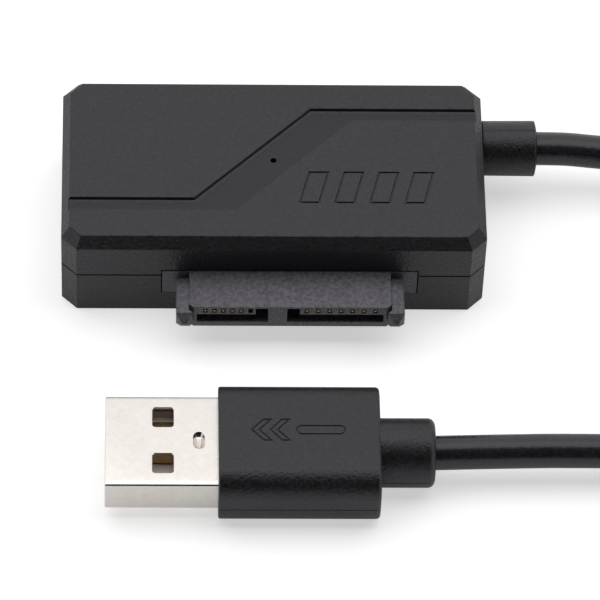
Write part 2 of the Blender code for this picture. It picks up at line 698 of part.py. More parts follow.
def cut_channels(body):
    """The contacts' channels through the receptacle. Behind the face's lip, a fitted one opens
    down into its slot to let the spring through."""
    floor, inside = CHANNEL_TOP - CHANNEL_HEIGHT, SLOT_TOP - SLOT_HEIGHT / 2
    lip = CONNECTOR_FACE + SPRING_LIP
    half, half_opening = CHANNEL_WIDTH / 2, CHANNEL_WIDTH / 2 - OPENING_STEP
    channels = [((x - half, CONNECTOR_FACE - CUT_OVERRUN, floor),
                 (x + half, CONNECTOR_REAR + CUT_OVERRUN, CHANNEL_TOP)) for x in POWER_XS + SIGNAL_XS]
    openings = [((x - half_opening, lip, inside), (x + half_opening, lip + SPRING_LENGTH, CHANNEL_MIDDLE))
                for x in POWER_XS[:POWER_FITTED] + SIGNAL_XS]
    cut(body, boxes("contact_channels", channels), boxes("spring_openings", openings))


def build_connector():
    body = plate("sata_connector_body", block_outline(), CONNECTOR_FACE, CONNECTOR_REAR,
                 connector_plastic(), facing="Y")
    cut(body, block_lead("left_lead", -1), block_lead("right_lead", 1))
    join(body, guide_arm("left_arm", -1), guide_arm("right_arm", 1))
    edge = CONNECTOR_WIDTH / 2
    wings = [((CONNECTOR_X - edge - WING_REACH, HOUSING_FRONT, WING_BOTTOM),
              (CONNECTOR_X + edge + WING_REACH, HOUSING_FRONT + WING_DEPTH, WING_TOP))]
    join(body, boxes("connector_wings", wings))
    for number, (x, y) in enumerate(PEGS):
        join(body, cylinder(f"connector_peg_{number}", (x, y, CONNECTOR_BOTTOM + PEG_DIAMETER / 2),
                            (x, y, CONNECTOR_BOTTOM - PEG_LENGTH), PEG_DIAMETER, segments=FINE_SEGMENTS))
    for name, outline in zip(("power_slot", "signal_slot"), slot_outlines()):
        cut(body, plate(name, outline, CONNECTOR_FACE - CUT_OVERRUN, CONNECTOR_FACE + SLOT_DEPTH, facing="Y"))
    cut_channels(body)
    return body


def contact_path():
    """A contact from its tip, over its spring, out of the rear and down to its foot, as y and z."""
    foot = BOARD_TOP + SOLDER_GAP + CONTACT_THICKNESS / 2
    spring = CONNECTOR_FACE + SPRING_LIP
    tail = CONNECTOR_REAR + CONTACT_TAIL
    return [
        (CONNECTOR_FACE + CONTACT_SETBACK, CHANNEL_MIDDLE),
        (spring + 0.25 * SPRING_LENGTH, CHANNEL_MIDDLE - SPRING_BOW),
        (spring + 0.45 * SPRING_LENGTH, CHANNEL_MIDDLE - SPRING_BOW),
        (spring + 0.9 * SPRING_LENGTH, CHANNEL_MIDDLE),
        (tail - CONTACT_THICKNESS, CHANNEL_MIDDLE),
        (tail, CHANNEL_MIDDLE - CONTACT_THICKNESS),
        (tail, foot + CONTACT_THICKNESS),
        (tail + CONTACT_THICKNESS, foot),
        (tail + CONTACT_FOOT, foot),
    ]


def build_contacts():
    outline = strip_outline(contact_path(), CONTACT_THICKNESS)
    places = [(f"power_contact_{i + 1}", x) for i, x in enumerate(POWER_XS[:POWER_FITTED])]
    places += [(f"signal_contact_{i + 1}", x) for i, x in enumerate(SIGNAL_XS)]
    for name, x in places:
        plate(name, outline, x - CONTACT_WIDTH / 2, x + CONTACT_WIDTH / 2, gold(), facing="X")


# Circuit board
def build_board():
    board = boxes("circuit_board", [((BOARD_LEFT, BOARD_FRONT, BOARD_BOTTOM),
                                     (BOARD_RIGHT, BOARD_BACK, BOARD_TOP))], board_resin())
    holes = [(x, y, PIN_DIAMETER) for x, y in POSTS] + [(x, y, PEG_DIAMETER) for x, y in PEGS]
    for number, (x, y, diameter) in enumerate(holes):
        cut(board, cylinder(f"board_hole_{number}", (x, y, BOARD_BOTTOM - CUT_OVERRUN),
                            (x, y, BOARD_TOP + CUT_OVERRUN), diameter + 2 * FIT_GAP, segments=FINE_SEGMENTS))
    return board


def block_on_board(name, place, size, finish, board):
    centre = (place[0], place[1], SOLDER_GAP + size[2] / 2)
    part = box_at(name, centre, size, finish, board)
    soften(part, CHIP_EDGE)
    return part


def legs_for(name, place, size, count, pitch, board):
    """The legs of a moulded chip, along its two long sides."""
    row = [(i - (count - 1) / 2) * pitch for i in range(count)]
    reach = size[1] / 2 + LEG_REACH
    corners = [((place[0] + x - LEG_WIDTH / 2, place[1] - reach, SOLDER_GAP),
                (place[0] + x + LEG_WIDTH / 2, place[1] + reach, SOLDER_GAP + LEG_THICKNESS)) for x in row]
    return boxes(name, corners, None, board)


def build_components():
    board = bpy.data.objects.new("board_place", None)
    PARTS.objects.link(board)
    board.location = (BOARD_X, BOARD_Y, BOARD_TOP)
    block_on_board("bridge_chip", BRIDGE_CHIP_PLACE, BRIDGE_CHIP_SIZE, chip_resin(), board)
    flash = block_on_board("flash_chip", FLASH_CHIP_PLACE, FLASH_CHIP_SIZE, chip_resin(), board)
    join(flash, legs_for("flash_legs", FLASH_CHIP_PLACE, FLASH_CHIP_SIZE, FLASH_LEGS, FLASH_LEG_PITCH, board))
    regulator = block_on_board("voltage_regulator", REGULATOR_PLACE, REGULATOR_SIZE, chip_resin(), board)
    join(regulator, legs_for("regulator_legs", REGULATOR_PLACE, REGULATOR_SIZE,
                             REGULATOR_LEGS, REGULATOR_LEG_PITCH, board))
    block_on_board("crystal", CRYSTAL_PLACE, CRYSTAL_SIZE, tinned_metal(), board)
    block_on_board("inductor", INDUCTOR_PLACE, INDUCTOR_SIZE, chip_resin(), board)
    for number, place in enumerate(CAPACITOR_PLACES):
        block_on_board(f"capacitor_{number + 1}", place, CAPACITOR_SIZE,
                       material("capacitor_ceramic", (0.45, 0.33, 0.22), 0.5), board)
    lamp = (PINHOLE_X - BOARD_X, PINHOLE_Y - BOARD_Y)
    block_on_board("status_lamp", lamp, LAMP_SIZE, material("lamp_resin", (0.85, 0.87, 0.80), 0.2), board)


# Strain relief and wires
def build_strain_relief():
    neck, flange = RELIEF_NECK_DIAMETER / 2, RELIEF_FLANGE_DIAMETER / 2
    barrel, start, end = RELIEF_DIAMETER / 2, HOUSING_RIGHT + FIT_GAP, RELIEF_END
    wall_inside = HOUSING_RIGHT - WALL - FIT_GAP
    rounding = arc((barrel - RELIEF_END_RADIUS, end - RELIEF_END_RADIUS), RELIEF_END_RADIUS, 90, 0, CORNER_STEPS)
    profile = [(0.0, end), *rounding, (barrel, start), (neck, start), (neck, wall_inside),
               (flange, wall_inside), (flange, RELIEF_INNER_END), (0.0, RELIEF_INNER_END)]
    relief = turned("strain_relief", profile, (0.0, RELIEF_Y, SEAM_HEIGHT), True, grip_plastic())
    smooth(relief)
    return relief


WIRE_COLOURS = ((0.02, 0.02, 0.02), (0.55, 0.03, 0.03), (0.75, 0.75, 0.72), (0.04, 0.35, 0.08),
                (0.70, 0.45, 0.05), (0.05, 0.12, 0.55), (0.30, 0.08, 0.45), (0.75, 0.22, 0.03))
# Each wire's place round the relief's inner face, in degrees from +Y, in the order of the pads
WIRE_ANGLES = (180, 225, 135, 270, 90, 45, 315, 0)


def build_wires():
    start_x = RELIEF_INNER_END - FIT_GAP
    end_x = BOARD_RIGHT - WIRE_LAP
    end_z = BOARD_TOP + SOLDER_GAP + WIRE_DIAMETER / 2
    for number, (name, colour, angle) in enumerate(zip(WIRES, WIRE_COLOURS, WIRE_ANGLES)):
        y = RELIEF_Y + WIRE_RING_RADIUS * math.cos(math.radians(angle))
        z = SEAM_HEIGHT + WIRE_RING_RADIUS * math.sin(math.radians(angle))
        pad_y = RELIEF_Y + WIRE_ROW_SHIFT + (number - (len(WIRES) - 1) / 2) * WIRE_PITCH
        straight = 0.15 * (start_x - end_x)
        knots = [(start_x, y, z), (start_x - straight, y, z),
                 ((start_x + end_x) / 2, (y + pad_y) / 2, (z + end_z) / 2),
                 (end_x + straight, pad_y, end_z), (end_x, pad_y, end_z)]
        tube(name, smooth_route(knots, LEAD_STEPS), WIRE_DIAMETER, material(f"{name}_sleeve", colour, 0.45))


# Plug
def build_plug():
    plug = bpy.data.objects.new("plug_place", None)
    PARTS.objects.link(plug)
    plug.location = (PLUG_NOSE_X, PLUG_Y, PLUG_AXIS_Z)
    build_plug_shell(plug)
    build_plug_grip(plug)
    build_plug_tongue(plug)


def build_plug_shell(plug):
    length = SHELL_EXPOSED + SHELL_EMBEDDED
    shell = plate("plug_shell", rounded_rectangle(SHELL_WIDTH, SHELL_HEIGHT, SHELL_CORNER), 0.0, length,
                  shell_metal(), plug, "X")
    inside = rounded_rectangle(SHELL_WIDTH - 2 * SHELL_SHEET, SHELL_HEIGHT - 2 * SHELL_SHEET,
                               SHELL_CORNER - SHELL_SHEET)
    cut(shell, plate("plug_shell_bore", inside, -CUT_OVERRUN, length + CUT_OVERRUN, None, plug, "X"))
    windows = []
    for side in (-1, 1):
        for face in (-1, 1):
            edges = sorted((face * (SHELL_HEIGHT / 2 - 2 * SHELL_SHEET), face * (SHELL_HEIGHT / 2 + CUT_OVERRUN)))
            windows.append(((WINDOW_SETBACK, side * WINDOW_SPREAD - WINDOW_WIDTH / 2, edges[0]),
                            (WINDOW_SETBACK + WINDOW_LENGTH, side * WINDOW_SPREAD + WINDOW_WIDTH / 2, edges[1])))
    cut(shell, boxes("plug_windows", windows, None, plug))
    dimple = rounded_rectangle(DIMPLE_LENGTH, DIMPLE_WIDTH, DIMPLE_LENGTH / 2, (DIMPLE_SETBACK, 0.0))
    cut(shell, plate("plug_dimple", dimple, SHELL_HEIGHT / 2 - 2 * SHELL_SHEET, SHELL_HEIGHT / 2 + CUT_OVERRUN,
                     None, plug))
    smooth(shell)


def build_plug_grip(plug):
    start, end = SHELL_EXPOSED, SHELL_EXPOSED + GRIP_LENGTH
    grip = plate("plug_grip", rounded_rectangle(GRIP_WIDTH, GRIP_HEIGHT, GRIP_CORNER), start, end,
                 grip_plastic(), plug, "X")
    soften(grip, GRIP_EDGE, 2)
    radius, boot_end = BOOT_DIAMETER / 2, end + BOOT_LENGTH
    rounding = arc((radius - BOOT_END_RADIUS, boot_end - BOOT_END_RADIUS), BOOT_END_RADIUS, 90, 0, CORNER_STEPS)
    profile = [(0.0, boot_end), *rounding, (radius, end - GRIP_EDGE * 2), (0.0, end - GRIP_EDGE * 2)]
    join(grip, turned("plug_boot", profile, (0.0, 0.0, 0.0), True, None, plug))
    pocket = rounded_rectangle(SHELL_WIDTH + 2 * FIT_GAP, SHELL_HEIGHT + 2 * FIT_GAP, SHELL_CORNER + FIT_GAP)
    cut(grip, plate("plug_pocket", pocket, start - CUT_OVERRUN, start + SHELL_EMBEDDED + FIT_GAP, None, plug, "X"))
    smooth(grip)


def build_plug_tongue(plug):
    bottom = -SHELL_HEIGHT / 2 + SHELL_SHEET + PAD_GAP
    top = bottom + TONGUE_THICKNESS
    half = SHELL_WIDTH / 2 - SHELL_SHEET - PAD_GAP
    back = SHELL_EXPOSED + SHELL_EMBEDDED
    tongue = boxes("plug_tongue", [((TONGUE_SETBACK, -half, bottom), (back, half, top))],
                   material("plug_tongue_plastic", (0.03, 0.03, 0.035), 0.45), plug)
    pad_end = PAD_SETBACK + PAD_LENGTH
    grooves = [((PAD_SETBACK - PAD_GAP, y - PAD_WIDTH / 2 - PAD_GAP, top - PAD_THICKNESS),
                (pad_end + PAD_GAP, y + PAD_WIDTH / 2 + PAD_GAP, top + CUT_OVERRUN)) for y in PAD_PLACES]
    cut(tongue, boxes("plug_pad_grooves", grooves, None, plug))
    for name, y in zip(PAD_NAMES, PAD_PLACES):
        boxes(name, [((PAD_SETBACK, y - PAD_WIDTH / 2, top - PAD_THICKNESS + PAD_GAP),
                      (pad_end, y + PAD_WIDTH / 2, top + PAD_GAP))], gold(), plug)
    low = top + PAD_GAP + CONTACT_THICKNESS / 2
    reach = SPRING_CONTACT_LENGTH
    path = [(SPRING_CONTACT_SETBACK, low), (SPRING_CONTACT_SETBACK + 0.3 * reach, low + SPRING_CONTACT_RISE),
            (SPRING_CONTACT_SETBACK + 0.5 * reach, low + SPRING_CONTACT_RISE),
            (SPRING_CONTACT_SETBACK + 0.9 * reach, low), (SPRING_CONTACT_SETBACK + reach, low)]
    outline = strip_outline(path, CONTACT_THICKNESS)
    for name, y in zip(SPRING_NAMES, SPRING_PLACES):
        plate(name, outline, y - SPRING_CONTACT_WIDTH / 2, y + SPRING_CONTACT_WIDTH / 2, gold(), plug, "Y")


# Cable
def coil_outline(grow):
    """Half the coil's section, as radius from the coil's axis and height, with its outside grown."""
    inner, outer = COIL_INNER_RADIUS - grow, COIL_OUTER_RADIUS + grow
    edge, low, top = COIL_EDGE, -grow, COIL_HEIGHT + grow
    shoulder = CABLE_DIAMETER + grow
    return [
        (inner + edge, top), (outer - CABLE_DIAMETER, top), (outer - edge, top - (top - shoulder) / 2),
        (outer, shoulder), (outer, low + edge), (outer - edge, low), (inner + edge, low),
        (inner, low + edge), (inner, top - edge),
    ]


def build_coil():
    section = coil_outline(0.0)
    coil = turned("cable_coil", section + section[:1], (COIL_X, COIL_Y, 0.0), False, grip_plastic(),
                  segments=COIL_SEGMENTS)
    notch = TIE_THICKNESS + FIT_GAP
    half = TIE_WIDTH / 2 + FIT_GAP
    cut(coil, boxes("coil_notch", [((COIL_X, COIL_Y - half, -CUT_OVERRUN),
                                    (COIL_X + COIL_OUTER_RADIUS + CUT_OVERRUN, COIL_Y + half, notch))]))
    smooth(coil)


def build_tie():
    """A twist tie round the coil's bundle. Its underside lies in the coil's notch."""
    def section(grow):
        low = 0.0 if grow > FIT_GAP else TIE_THICKNESS
        return [(COIL_X + radius, max(height, low)) for radius, height in coil_outline(grow)]
    near, far = COIL_Y - TIE_WIDTH / 2, COIL_Y + TIE_WIDTH / 2
    tie = plate("cable_tie", section(FIT_GAP + TIE_THICKNESS), near, far, chip_resin(), facing="Y")
    cut(tie, plate("tie_bore", section(FIT_GAP), near - CUT_OVERRUN, far + CUT_OVERRUN, facing="Y"))
    inner = COIL_X + COIL_INNER_RADIUS - FIT_GAP - TIE_THICKNESS / 2
    join(tie, cylinder("tie_tail", (inner, COIL_Y, TIE_TAIL_HEIGHT),
                       (inner - TIE_TAIL_LENGTH, COIL_Y, TIE_TAIL_HEIGHT), TIE_TAIL_DIAMETER,
                       segments=FINE_SEGMENTS))


def build_cable():
    for name, start, route in (("cable_housing_lead", HOUSING_LEAD_START, HOUSING_LEAD_ROUTE),
                               ("cable_plug_lead", PLUG_LEAD_START, PLUG_LEAD_ROUTE)):
        tube(name, smooth_route((start, *route), LEAD_STEPS), CABLE_DIAMETER, grip_plastic())
    build_coil()
    build_tie()


build_upper_shell()
build_lower_shell()
build_connector()
build_contacts()
build_board()
build_components()
build_strain_relief()
build_wires()
build_plug()
build_cable()
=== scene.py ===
"""The looks of a USB to slimline SATA adapter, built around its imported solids. Metres, +Z up."""

import math

import bmesh
import bpy
from mathutils import Matrix, Vector


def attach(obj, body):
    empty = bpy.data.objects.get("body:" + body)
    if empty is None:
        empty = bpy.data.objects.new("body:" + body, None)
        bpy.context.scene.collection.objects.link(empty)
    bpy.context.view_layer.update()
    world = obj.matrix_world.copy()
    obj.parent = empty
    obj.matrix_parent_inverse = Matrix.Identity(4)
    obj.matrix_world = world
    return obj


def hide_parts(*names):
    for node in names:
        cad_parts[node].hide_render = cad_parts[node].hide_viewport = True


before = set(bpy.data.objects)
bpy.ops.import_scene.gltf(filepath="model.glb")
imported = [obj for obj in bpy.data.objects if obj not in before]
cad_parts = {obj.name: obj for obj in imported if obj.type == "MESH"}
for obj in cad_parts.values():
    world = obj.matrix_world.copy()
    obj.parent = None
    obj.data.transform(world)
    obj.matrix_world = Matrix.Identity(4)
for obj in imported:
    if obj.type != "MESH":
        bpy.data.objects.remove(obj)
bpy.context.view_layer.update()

# How far a cutter reaches past what it cuts, and what counts as no difference
OVERRUN = 0.001
TINY = 1e-6

# Sizes that the part's source has too
FIT_GAP = 0.0002
HOUSING_LENGTH = 0.0472
HOUSING_DEPTH = 0.0237
HOUSING_HEIGHT = 0.0120
SEAM_HEIGHT = 0.0061
WALL = 0.0015
LID_THICKNESS = 0.0016
FLOOR_THICKNESS = 0.0012
CORNER_CHAMFER = 0.0017
LID_CHAMFER_WIDTH = 0.0009
LIP_THICKNESS = 0.0006
LIP_HEIGHT = 0.0008
LEAST_CORNER = 0.0001
HOUSING_FRONT = -HOUSING_DEPTH / 2
HOUSING_RIGHT = HOUSING_LENGTH / 2

GROOVE_WIDTH = 0.0017
GROOVE_LEFT_Y = HOUSING_FRONT + 0.0064
GROOVE_RIGHT_Y = HOUSING_DEPTH / 2 - 0.0044
GROOVE_LEFT_BEND_X = -0.0089
GROOVE_RIGHT_BEND_X = 0.0042
GROOVE_SLANT_SHIFT = 0.0047
PINHOLE = ((GROOVE_LEFT_BEND_X + GROOVE_RIGHT_BEND_X + GROOVE_SLANT_SHIFT) / 2,
           (GROOVE_LEFT_Y + GROOVE_RIGHT_Y - GROOVE_WIDTH) / 2)
PINHOLE_DIAMETER = 0.0007

CONNECTOR_X = 0.0018
CONNECTOR_TOP = 0.0068
CONNECTOR_BOTTOM = 0.0034
CONNECTOR_WIDTH = 0.0253
CONNECTOR_FACE = HOUSING_FRONT - 0.0050
CONNECTOR_REAR = HOUSING_FRONT + 0.0055
ARM_WIDTH = 0.00147
ARM_STEP = 0.0003
ARM_CORNER = 0.0005
ARM_EDGE = 0.00012
ARM_LEAD = 0.00055
ARM_NECK = 0.0001
ARM_FLARE = 0.00035
ARM_RISE = 0.0004
ARM_TIP_LENGTH = 0.0013
ARM_TIP_WIDTH = 0.0005
ARM_TIP_HEIGHT = 0.0003
ARM_ROOT = 0.0004
ARM_GAP = 0.00008
ARM_FREE_LENGTH = 0.0006
ARM_END_STEP = 0.0001
NOTCH_WIDTH = 0.0006
NOTCH_DEPTH = 0.00045
BLOCK_LEAD = 0.00045
WING_REACH = 0.00155
WING_TOP = CONNECTOR_TOP + 0.00005
WING_BOTTOM = WING_TOP - 0.0038
WING_DEPTH = 0.0018
PEG_DIAMETER = 0.0009
PEG_LENGTH = 0.0014
PEG_INSET = 0.00203
PEG_SETBACK = 0.0018
SLOT_SIDE_WALL = 0.00083
BLOCK_HALF = CONNECTOR_WIDTH / 2 - ARM_WIDTH
SLOT_BOTTOM = CONNECTOR_BOTTOM + 0.0008
SLOT_TOP = SLOT_BOTTOM + 0.0013
SLOT_DEPTH = 0.0048
CHANNEL_TOP = CONNECTOR_TOP - 0.0003
CHANNEL_WIDTH = 0.0005
CHANNEL_HEIGHT = 0.00072
SPRING_LIP = 0.0006
SPRING_LENGTH = 0.0036
KEY_WIDTH = 0.0014
SPRING_BOW = 0.00055
CONTACT_WIDTH = 0.00030
CONTACT_THICKNESS = 0.00016
CONTACT_TAIL = 0.0006
CONTACT_FOOT = 0.0010
SOLDER_GAP = 0.0001
POWER_SLOT_WIDTH = 0.0079
DIVIDER_WIDTH = 0.0021
CONTACT_END_MARGIN = 0.00093
POWER_POSITIONS = 6
POWER_CONTACTS = 5
POWER_PITCH = 0.0010
SIGNAL_POSITIONS = 7
SIGNAL_PITCH = 0.00127
POWER_LEFT = CONNECTOR_X - BLOCK_HALF + SLOT_SIDE_WALL
POWER_RIGHT = POWER_LEFT + POWER_SLOT_WIDTH
SIGNAL_LEFT = POWER_RIGHT + DIVIDER_WIDTH
SIGNAL_RIGHT = CONNECTOR_X + BLOCK_HALF - SLOT_SIDE_WALL
POWER_XS = [POWER_LEFT + CONTACT_END_MARGIN + i * POWER_PITCH for i in range(POWER_POSITIONS)]
SIGNAL_XS = [SIGNAL_RIGHT - CONTACT_END_MARGIN - (SIGNAL_POSITIONS - 1 - i) * SIGNAL_PITCH
             for i in range(SIGNAL_POSITIONS)]

RELIEF_Y = 0.0066
RELIEF_DIAMETER = 0.0063
RELIEF_START = HOUSING_RIGHT + FIT_GAP
RELIEF_END = RELIEF_START + 0.0062
RELIEF_NECK_DIAMETER = 0.0050
RELIEF_FLANGE_DIAMETER = 0.0064
RELIEF_FLANGE_THICKNESS = 0.0012
RELIEF_INNER_END = HOUSING_RIGHT - WALL - FIT_GAP - RELIEF_FLANGE_THICKNESS

BOARD_TOP = CONNECTOR_BOTTOM - FIT_GAP
BOARD_BOTTOM = BOARD_TOP - 0.0010
BOARD_LEFT = -HOUSING_RIGHT + WALL + 0.0006
BOARD_RIGHT = RELIEF_INNER_END - 0.0026
BOARD_BACK = HOUSING_DEPTH / 2 - WALL - 0.0006
POST_INSET = 0.0024
POSTS = (
    (BOARD_LEFT + POST_INSET, CONNECTOR_REAR + POST_INSET),
    (BOARD_LEFT + POST_INSET, BOARD_BACK - POST_INSET),
    (BOARD_RIGHT - POST_INSET, CONNECTOR_REAR + POST_INSET),
)
POST_DIAMETER = 0.0032
PIN_DIAMETER = 0.0013
PIN_ENGAGEMENT = 0.0030

PLUG_NOSE_X = -0.0186
PLUG_Y = -0.0346
SHELL_WIDTH = 0.0120
SHELL_HEIGHT = 0.0045
SHELL_SHEET = 0.0003
SHELL_EXPOSED = 0.0123
SHELL_EMBEDDED = 0.0040
WINDOW_LENGTH = 0.0023
WINDOW_WIDTH = 0.0026
WINDOW_SETBACK = 0.00515
WINDOW_SPREAD = 0.00308
DIMPLE_SETBACK = 0.0102
DIMPLE_LENGTH = 0.0013
GRIP_LENGTH = 0.0176
GRIP_WIDTH = 0.0148
GRIP_HEIGHT = 0.0079
GRIP_CORNER = 0.0028
BOOT_DIAMETER = 0.0076
BOOT_LENGTH = 0.0060
PLUG_AXIS_Z = GRIP_HEIGHT / 2
GRIP_START = PLUG_NOSE_X + SHELL_EXPOSED
GRIP_END = GRIP_START + GRIP_LENGTH
BOOT_END = GRIP_END + BOOT_LENGTH

CABLE_DIAMETER = 0.0038
COIL_X = 0.0630
COIL_Y = -0.0112

# Sizes that only the looks have, or that differ from the solids'
EASE = 0.00005
FINE_EASE = 0.00004
CONTACT_EASE = 0.00002
CORNER_STEPS = 6
LID_CHAMFER_DROP = 0.00138
LID_CORNER = 0.00131
LID_EDGE = 0.00020
LID_EDGE_DROP = 0.00005
# The groove from its floor up: how far its far and near walls stand in, and the depth there
GROOVE_LEVELS = ((0.00048, 0.0, 0.00036), (0.00020, 0.0, 0.00029), (0.0, 0.0, 0.00004),
                 (-0.00014, -0.00010, 0.0))
MOTIF_BARS = 4
MOTIF_LEFT = 0.0029
MOTIF_FRONT = -0.0061
MOTIF_PITCH = 0.0039
MOTIF_WIDTH = 0.0021
MOTIF_HEIGHT = 0.0043
MOTIF_SLANT = 0.0011
LINE_WIDTH = 0.00024
LINE_DEPTH = 0.00016

MOUTH_GAP = 0.00012
MOUTH_GAP_BELOW = 0.00003
ARM_RELIEF_LENGTH = 0.0016
ARM_RELIEF_DEPTH = 0.0009
SLOT_FLARE = 0.00004
OPENING_DROP = 0.00065
OPENING_INSET = 0.00002
CONTACT_TIP = 0.00010
CONTACT_TIP_DIAMETER = 0.00022

# The strain relief's two ends: how far its surface stands in, and the distance from the end
RELIEF_SHOULDER = ((0.00010, 0.0), (0.00004, 0.00006))
RELIEF_RIM = ((0.0, 0.00034), (0.00004, 0.00026), (0.00014, 0.00020))
# Its outer face: the share of its radius, and the distance from the end
RELIEF_FACE = ((0.80, 0.00008), (0.66, 0.0))
MOULD_LINE_HALF = 0.00005
MOULD_LINE_DEPTH = 0.00007
MOULD_LINE_DROP = 0.0004
GRIP_LINE_STOP = 0.0003
BOOT_LINE_START = 0.0002

SHELL_CORNER = 0.00028
SHELL_BEVEL = 0.00040
SHELL_BEVEL_DROP = 0.00012
SHELL_ROUNDING = 0.00010
WINDOW_CORNER = 0.00035
WINDOW_FLARE = 0.00005
DIMPLE_WIDTH = 0.0023
DIMPLE_CORNER = DIMPLE_LENGTH / 2 - 0.00001
# The dimple from its bottom up: how far its outline is grown, and the height above the shell's top
DIMPLE_LEVELS = ((-0.00058, -0.00050), (-0.00046, -0.00047), (-0.00033, -0.00040), (-0.00020, -0.00029),
                 (-0.00010, -0.00016), (-0.00002, -0.00003), (0.00004, 0.00001), (0.00004, OVERRUN))
DIMPLE_BACK_DEPTH = 0.00075
DIMPLE_BACK_EASE = 0.0001
# The corners of a ridge's foot, from the middle of the dimple
RIDGE_FOOT = ((0.00006, -0.0007), (0.00016, -0.0006), (0.00034, 0.0006), (0.00020, 0.0007))
RIDGE_FOOT_DEPTH = 0.00056
RIDGE_CREST_DEPTH = 0.00022
RIDGE_TAPER = 0.00004
GRIP_FRONT_ROUNDING = 0.00022
GRIP_REAR_ROUNDING = 0.00045
BOOT_OVERLAP = 0.0010
BOOT_ROUNDING = 0.0008
POCKET_GAP = 0.0002
POCKET_CORNER = 0.0006
MARK_SHIFT = 0.0002
MARK_LINE_WIDTH = 0.00018
MARK_LINE_DEPTH = 0.00012
CHEVRON_SETBACKS = (0.0036, 0.0056)
CHEVRON = ((0.0, 0.0), (0.0013, -0.0014), (0.0021, -0.0014),
           (0.0008, 0.0), (0.0021, 0.0014), (0.0013, 0.0014))
BAR_SETBACK = 0.0111
BAR_LENGTH = 0.0052
BAR_WIDTH = 0.0011
BAR_CORNER = 0.00054

# Keeps the cable's skin out of the table between the knots of its curve
TABLE_GAP = 0.00007
CABLE_SEAT = 0.0004
KNOTS_PER_TURN = 16
COIL_TURNS = 2.5
COIL_RADIUS = 0.0175
TURN_PITCH = 0.0039
TURNS_APART = 0.00385
# The upper turn: its radius after a share of the turn
UPPER_TURN = ((0.0, 0.0176), (0.25, 0.0185), (0.5, 0.0186), (0.75, 0.0179), (0.9, 0.01735), (1.0, 0.0175))
TIE_LIFT = 0.0005
TIE_LIFT_DEGREES = 14
TIE_HALF_WIDTH = 0.00175
TIE_GAP = 0.00006
TIE_SHEET = 0.00040
# The tie's two twisted ends
TWIST_STEPS = 48
TWIST_HALF_TURNS = 5
TWIST_ROOT = 0.0001
TWIST_LENGTH = 0.0062
TWIST_HEIGHT = 0.0044
TWIST_DROP = 0.0006
TWIST_SWING = 0.00026
TWIST_SWING_RATE = 6
TWIST_HALF_WIDTH = 0.0011
TWIST_NARROWING = 0.0004
TWIST_NARROWING_RATE = 5
TWIST_HALF_SHEET = 0.00022
TWIST_SECTION = ((-1, 0), (-0.7, -0.7), (0, -1), (0.7, -0.7), (1, 0), (0.7, 0.7), (0, 1), (-0.7, 0.7))

# Floor, room and light
WHITE = (1.0, 1.0, 1.0, 1.0)
FLOOR_HALF = 4.0
FLOOR_DEPTH = 0.02
FLOOR_GREY = 0.88
FLOOR_LIFT = 0.55
FLOOR_LIFT_REFLECTED = 0.25
MATT = 0.9
ROOM_LEVEL = 0.14
LAMP_HEIGHT = 0.62
LAMP_WIDTH = 1.5
# Each softbox's near and far edge, and its level
SOFTBOXES = (("rear_softbox", 0.34, 0.83, 1.06), ("top_softbox", -0.14, 0.34, 1.65))
# Each black sheet's place, what it faces, and its size
BLACK_SHEETS = (
    ("softbox_backs", (0.0, 0.13, LAMP_HEIGHT + 0.02), (0.0, 0.13, 0.0), (1.56, 1.46)),
    ("dark_front", (0.0, -0.80, 0.50), (0.0, 0.0, 0.0), (1.7, 1.0)),
)
SHEET_THICKNESS = 0.004
SHEET_GREY = 0.02

# The photograph's camera, in degrees, metres and pixels
CAMERA_ELEVATION = 52.283
CAMERA_YAW = 2.964
CAMERA_ROLL = 2.579
CAMERA_DISTANCE = 0.601348
CAMERA_ACROSS = 0.003287
CAMERA_ALONG = -0.008359
FOCAL_PIXELS = 5300
PICTURE_PIXELS = 600
SENSOR_WIDTH = 36.0
CLIP_START = 0.01
CLIP_END = 50.0


# Meshes
def mesh_object(name, bm, finish=None):
    bmesh.ops.recalc_face_normals(bm, faces=bm.faces)
    mesh = bpy.data.meshes.new(name)
    bm.to_mesh(mesh)
    bm.free()
    obj = bpy.data.objects.new(name, mesh)
    bpy.context.scene.collection.objects.link(obj)
    if finish:
        mesh.materials.append(finish)
    return obj


def loft(rings, endless=False):
    """A closed bmesh through rings of as many points each, with a flat cap at both ends or without end."""
    bm = bmesh.new()
    loops = [[bm.verts.new(point) for point in ring] for ring in rings]
    pairs = zip(loops[-1:] + loops, loops) if endless else zip(loops, loops[1:])
    for cap in () if endless else (loops[0], loops[-1]):
        bm.faces.new(cap)
    for near, far in pairs:
        for i in range(len(near)):
            bm.faces.new((near[i - 1], near[i], far[i], far[i - 1]))
    bmesh.ops.recalc_face_normals(bm, faces=bm.faces)
    return bm


def stacked(levels):
    """A loft through outlines, each at its own height."""
    return loft([[(x, y, z) for x, y in outline] for outline, z in levels])


def prism(outline, low, high, facing="Z"):
    """An outline pulled from low to high. Facing Z it gives x and y, facing Y x and z, facing X y and z."""

    def placed(point, level):
        a, b = point
        return {"Z": (a, b, level), "Y": (a, level, b), "X": (level, a, b)}[facing]

    return loft([[placed(p, low) for p in outline], [placed(p, high) for p in outline]])


def box(low, high):
    base = [(low[0], low[1]), (high[0], low[1]), (high[0], high[1]), (low[0], high[1])]
    return prism(base, low[2], high[2])


def merged(*parts):
    """One bmesh of several that don't touch."""
    whole = bmesh.new()
    for part in parts:
        mesh = bpy.data.meshes.new("merged")
        part.to_mesh(mesh)
        part.free()
        whole.from_mesh(mesh)
        bpy.data.meshes.remove(mesh)
    return whole


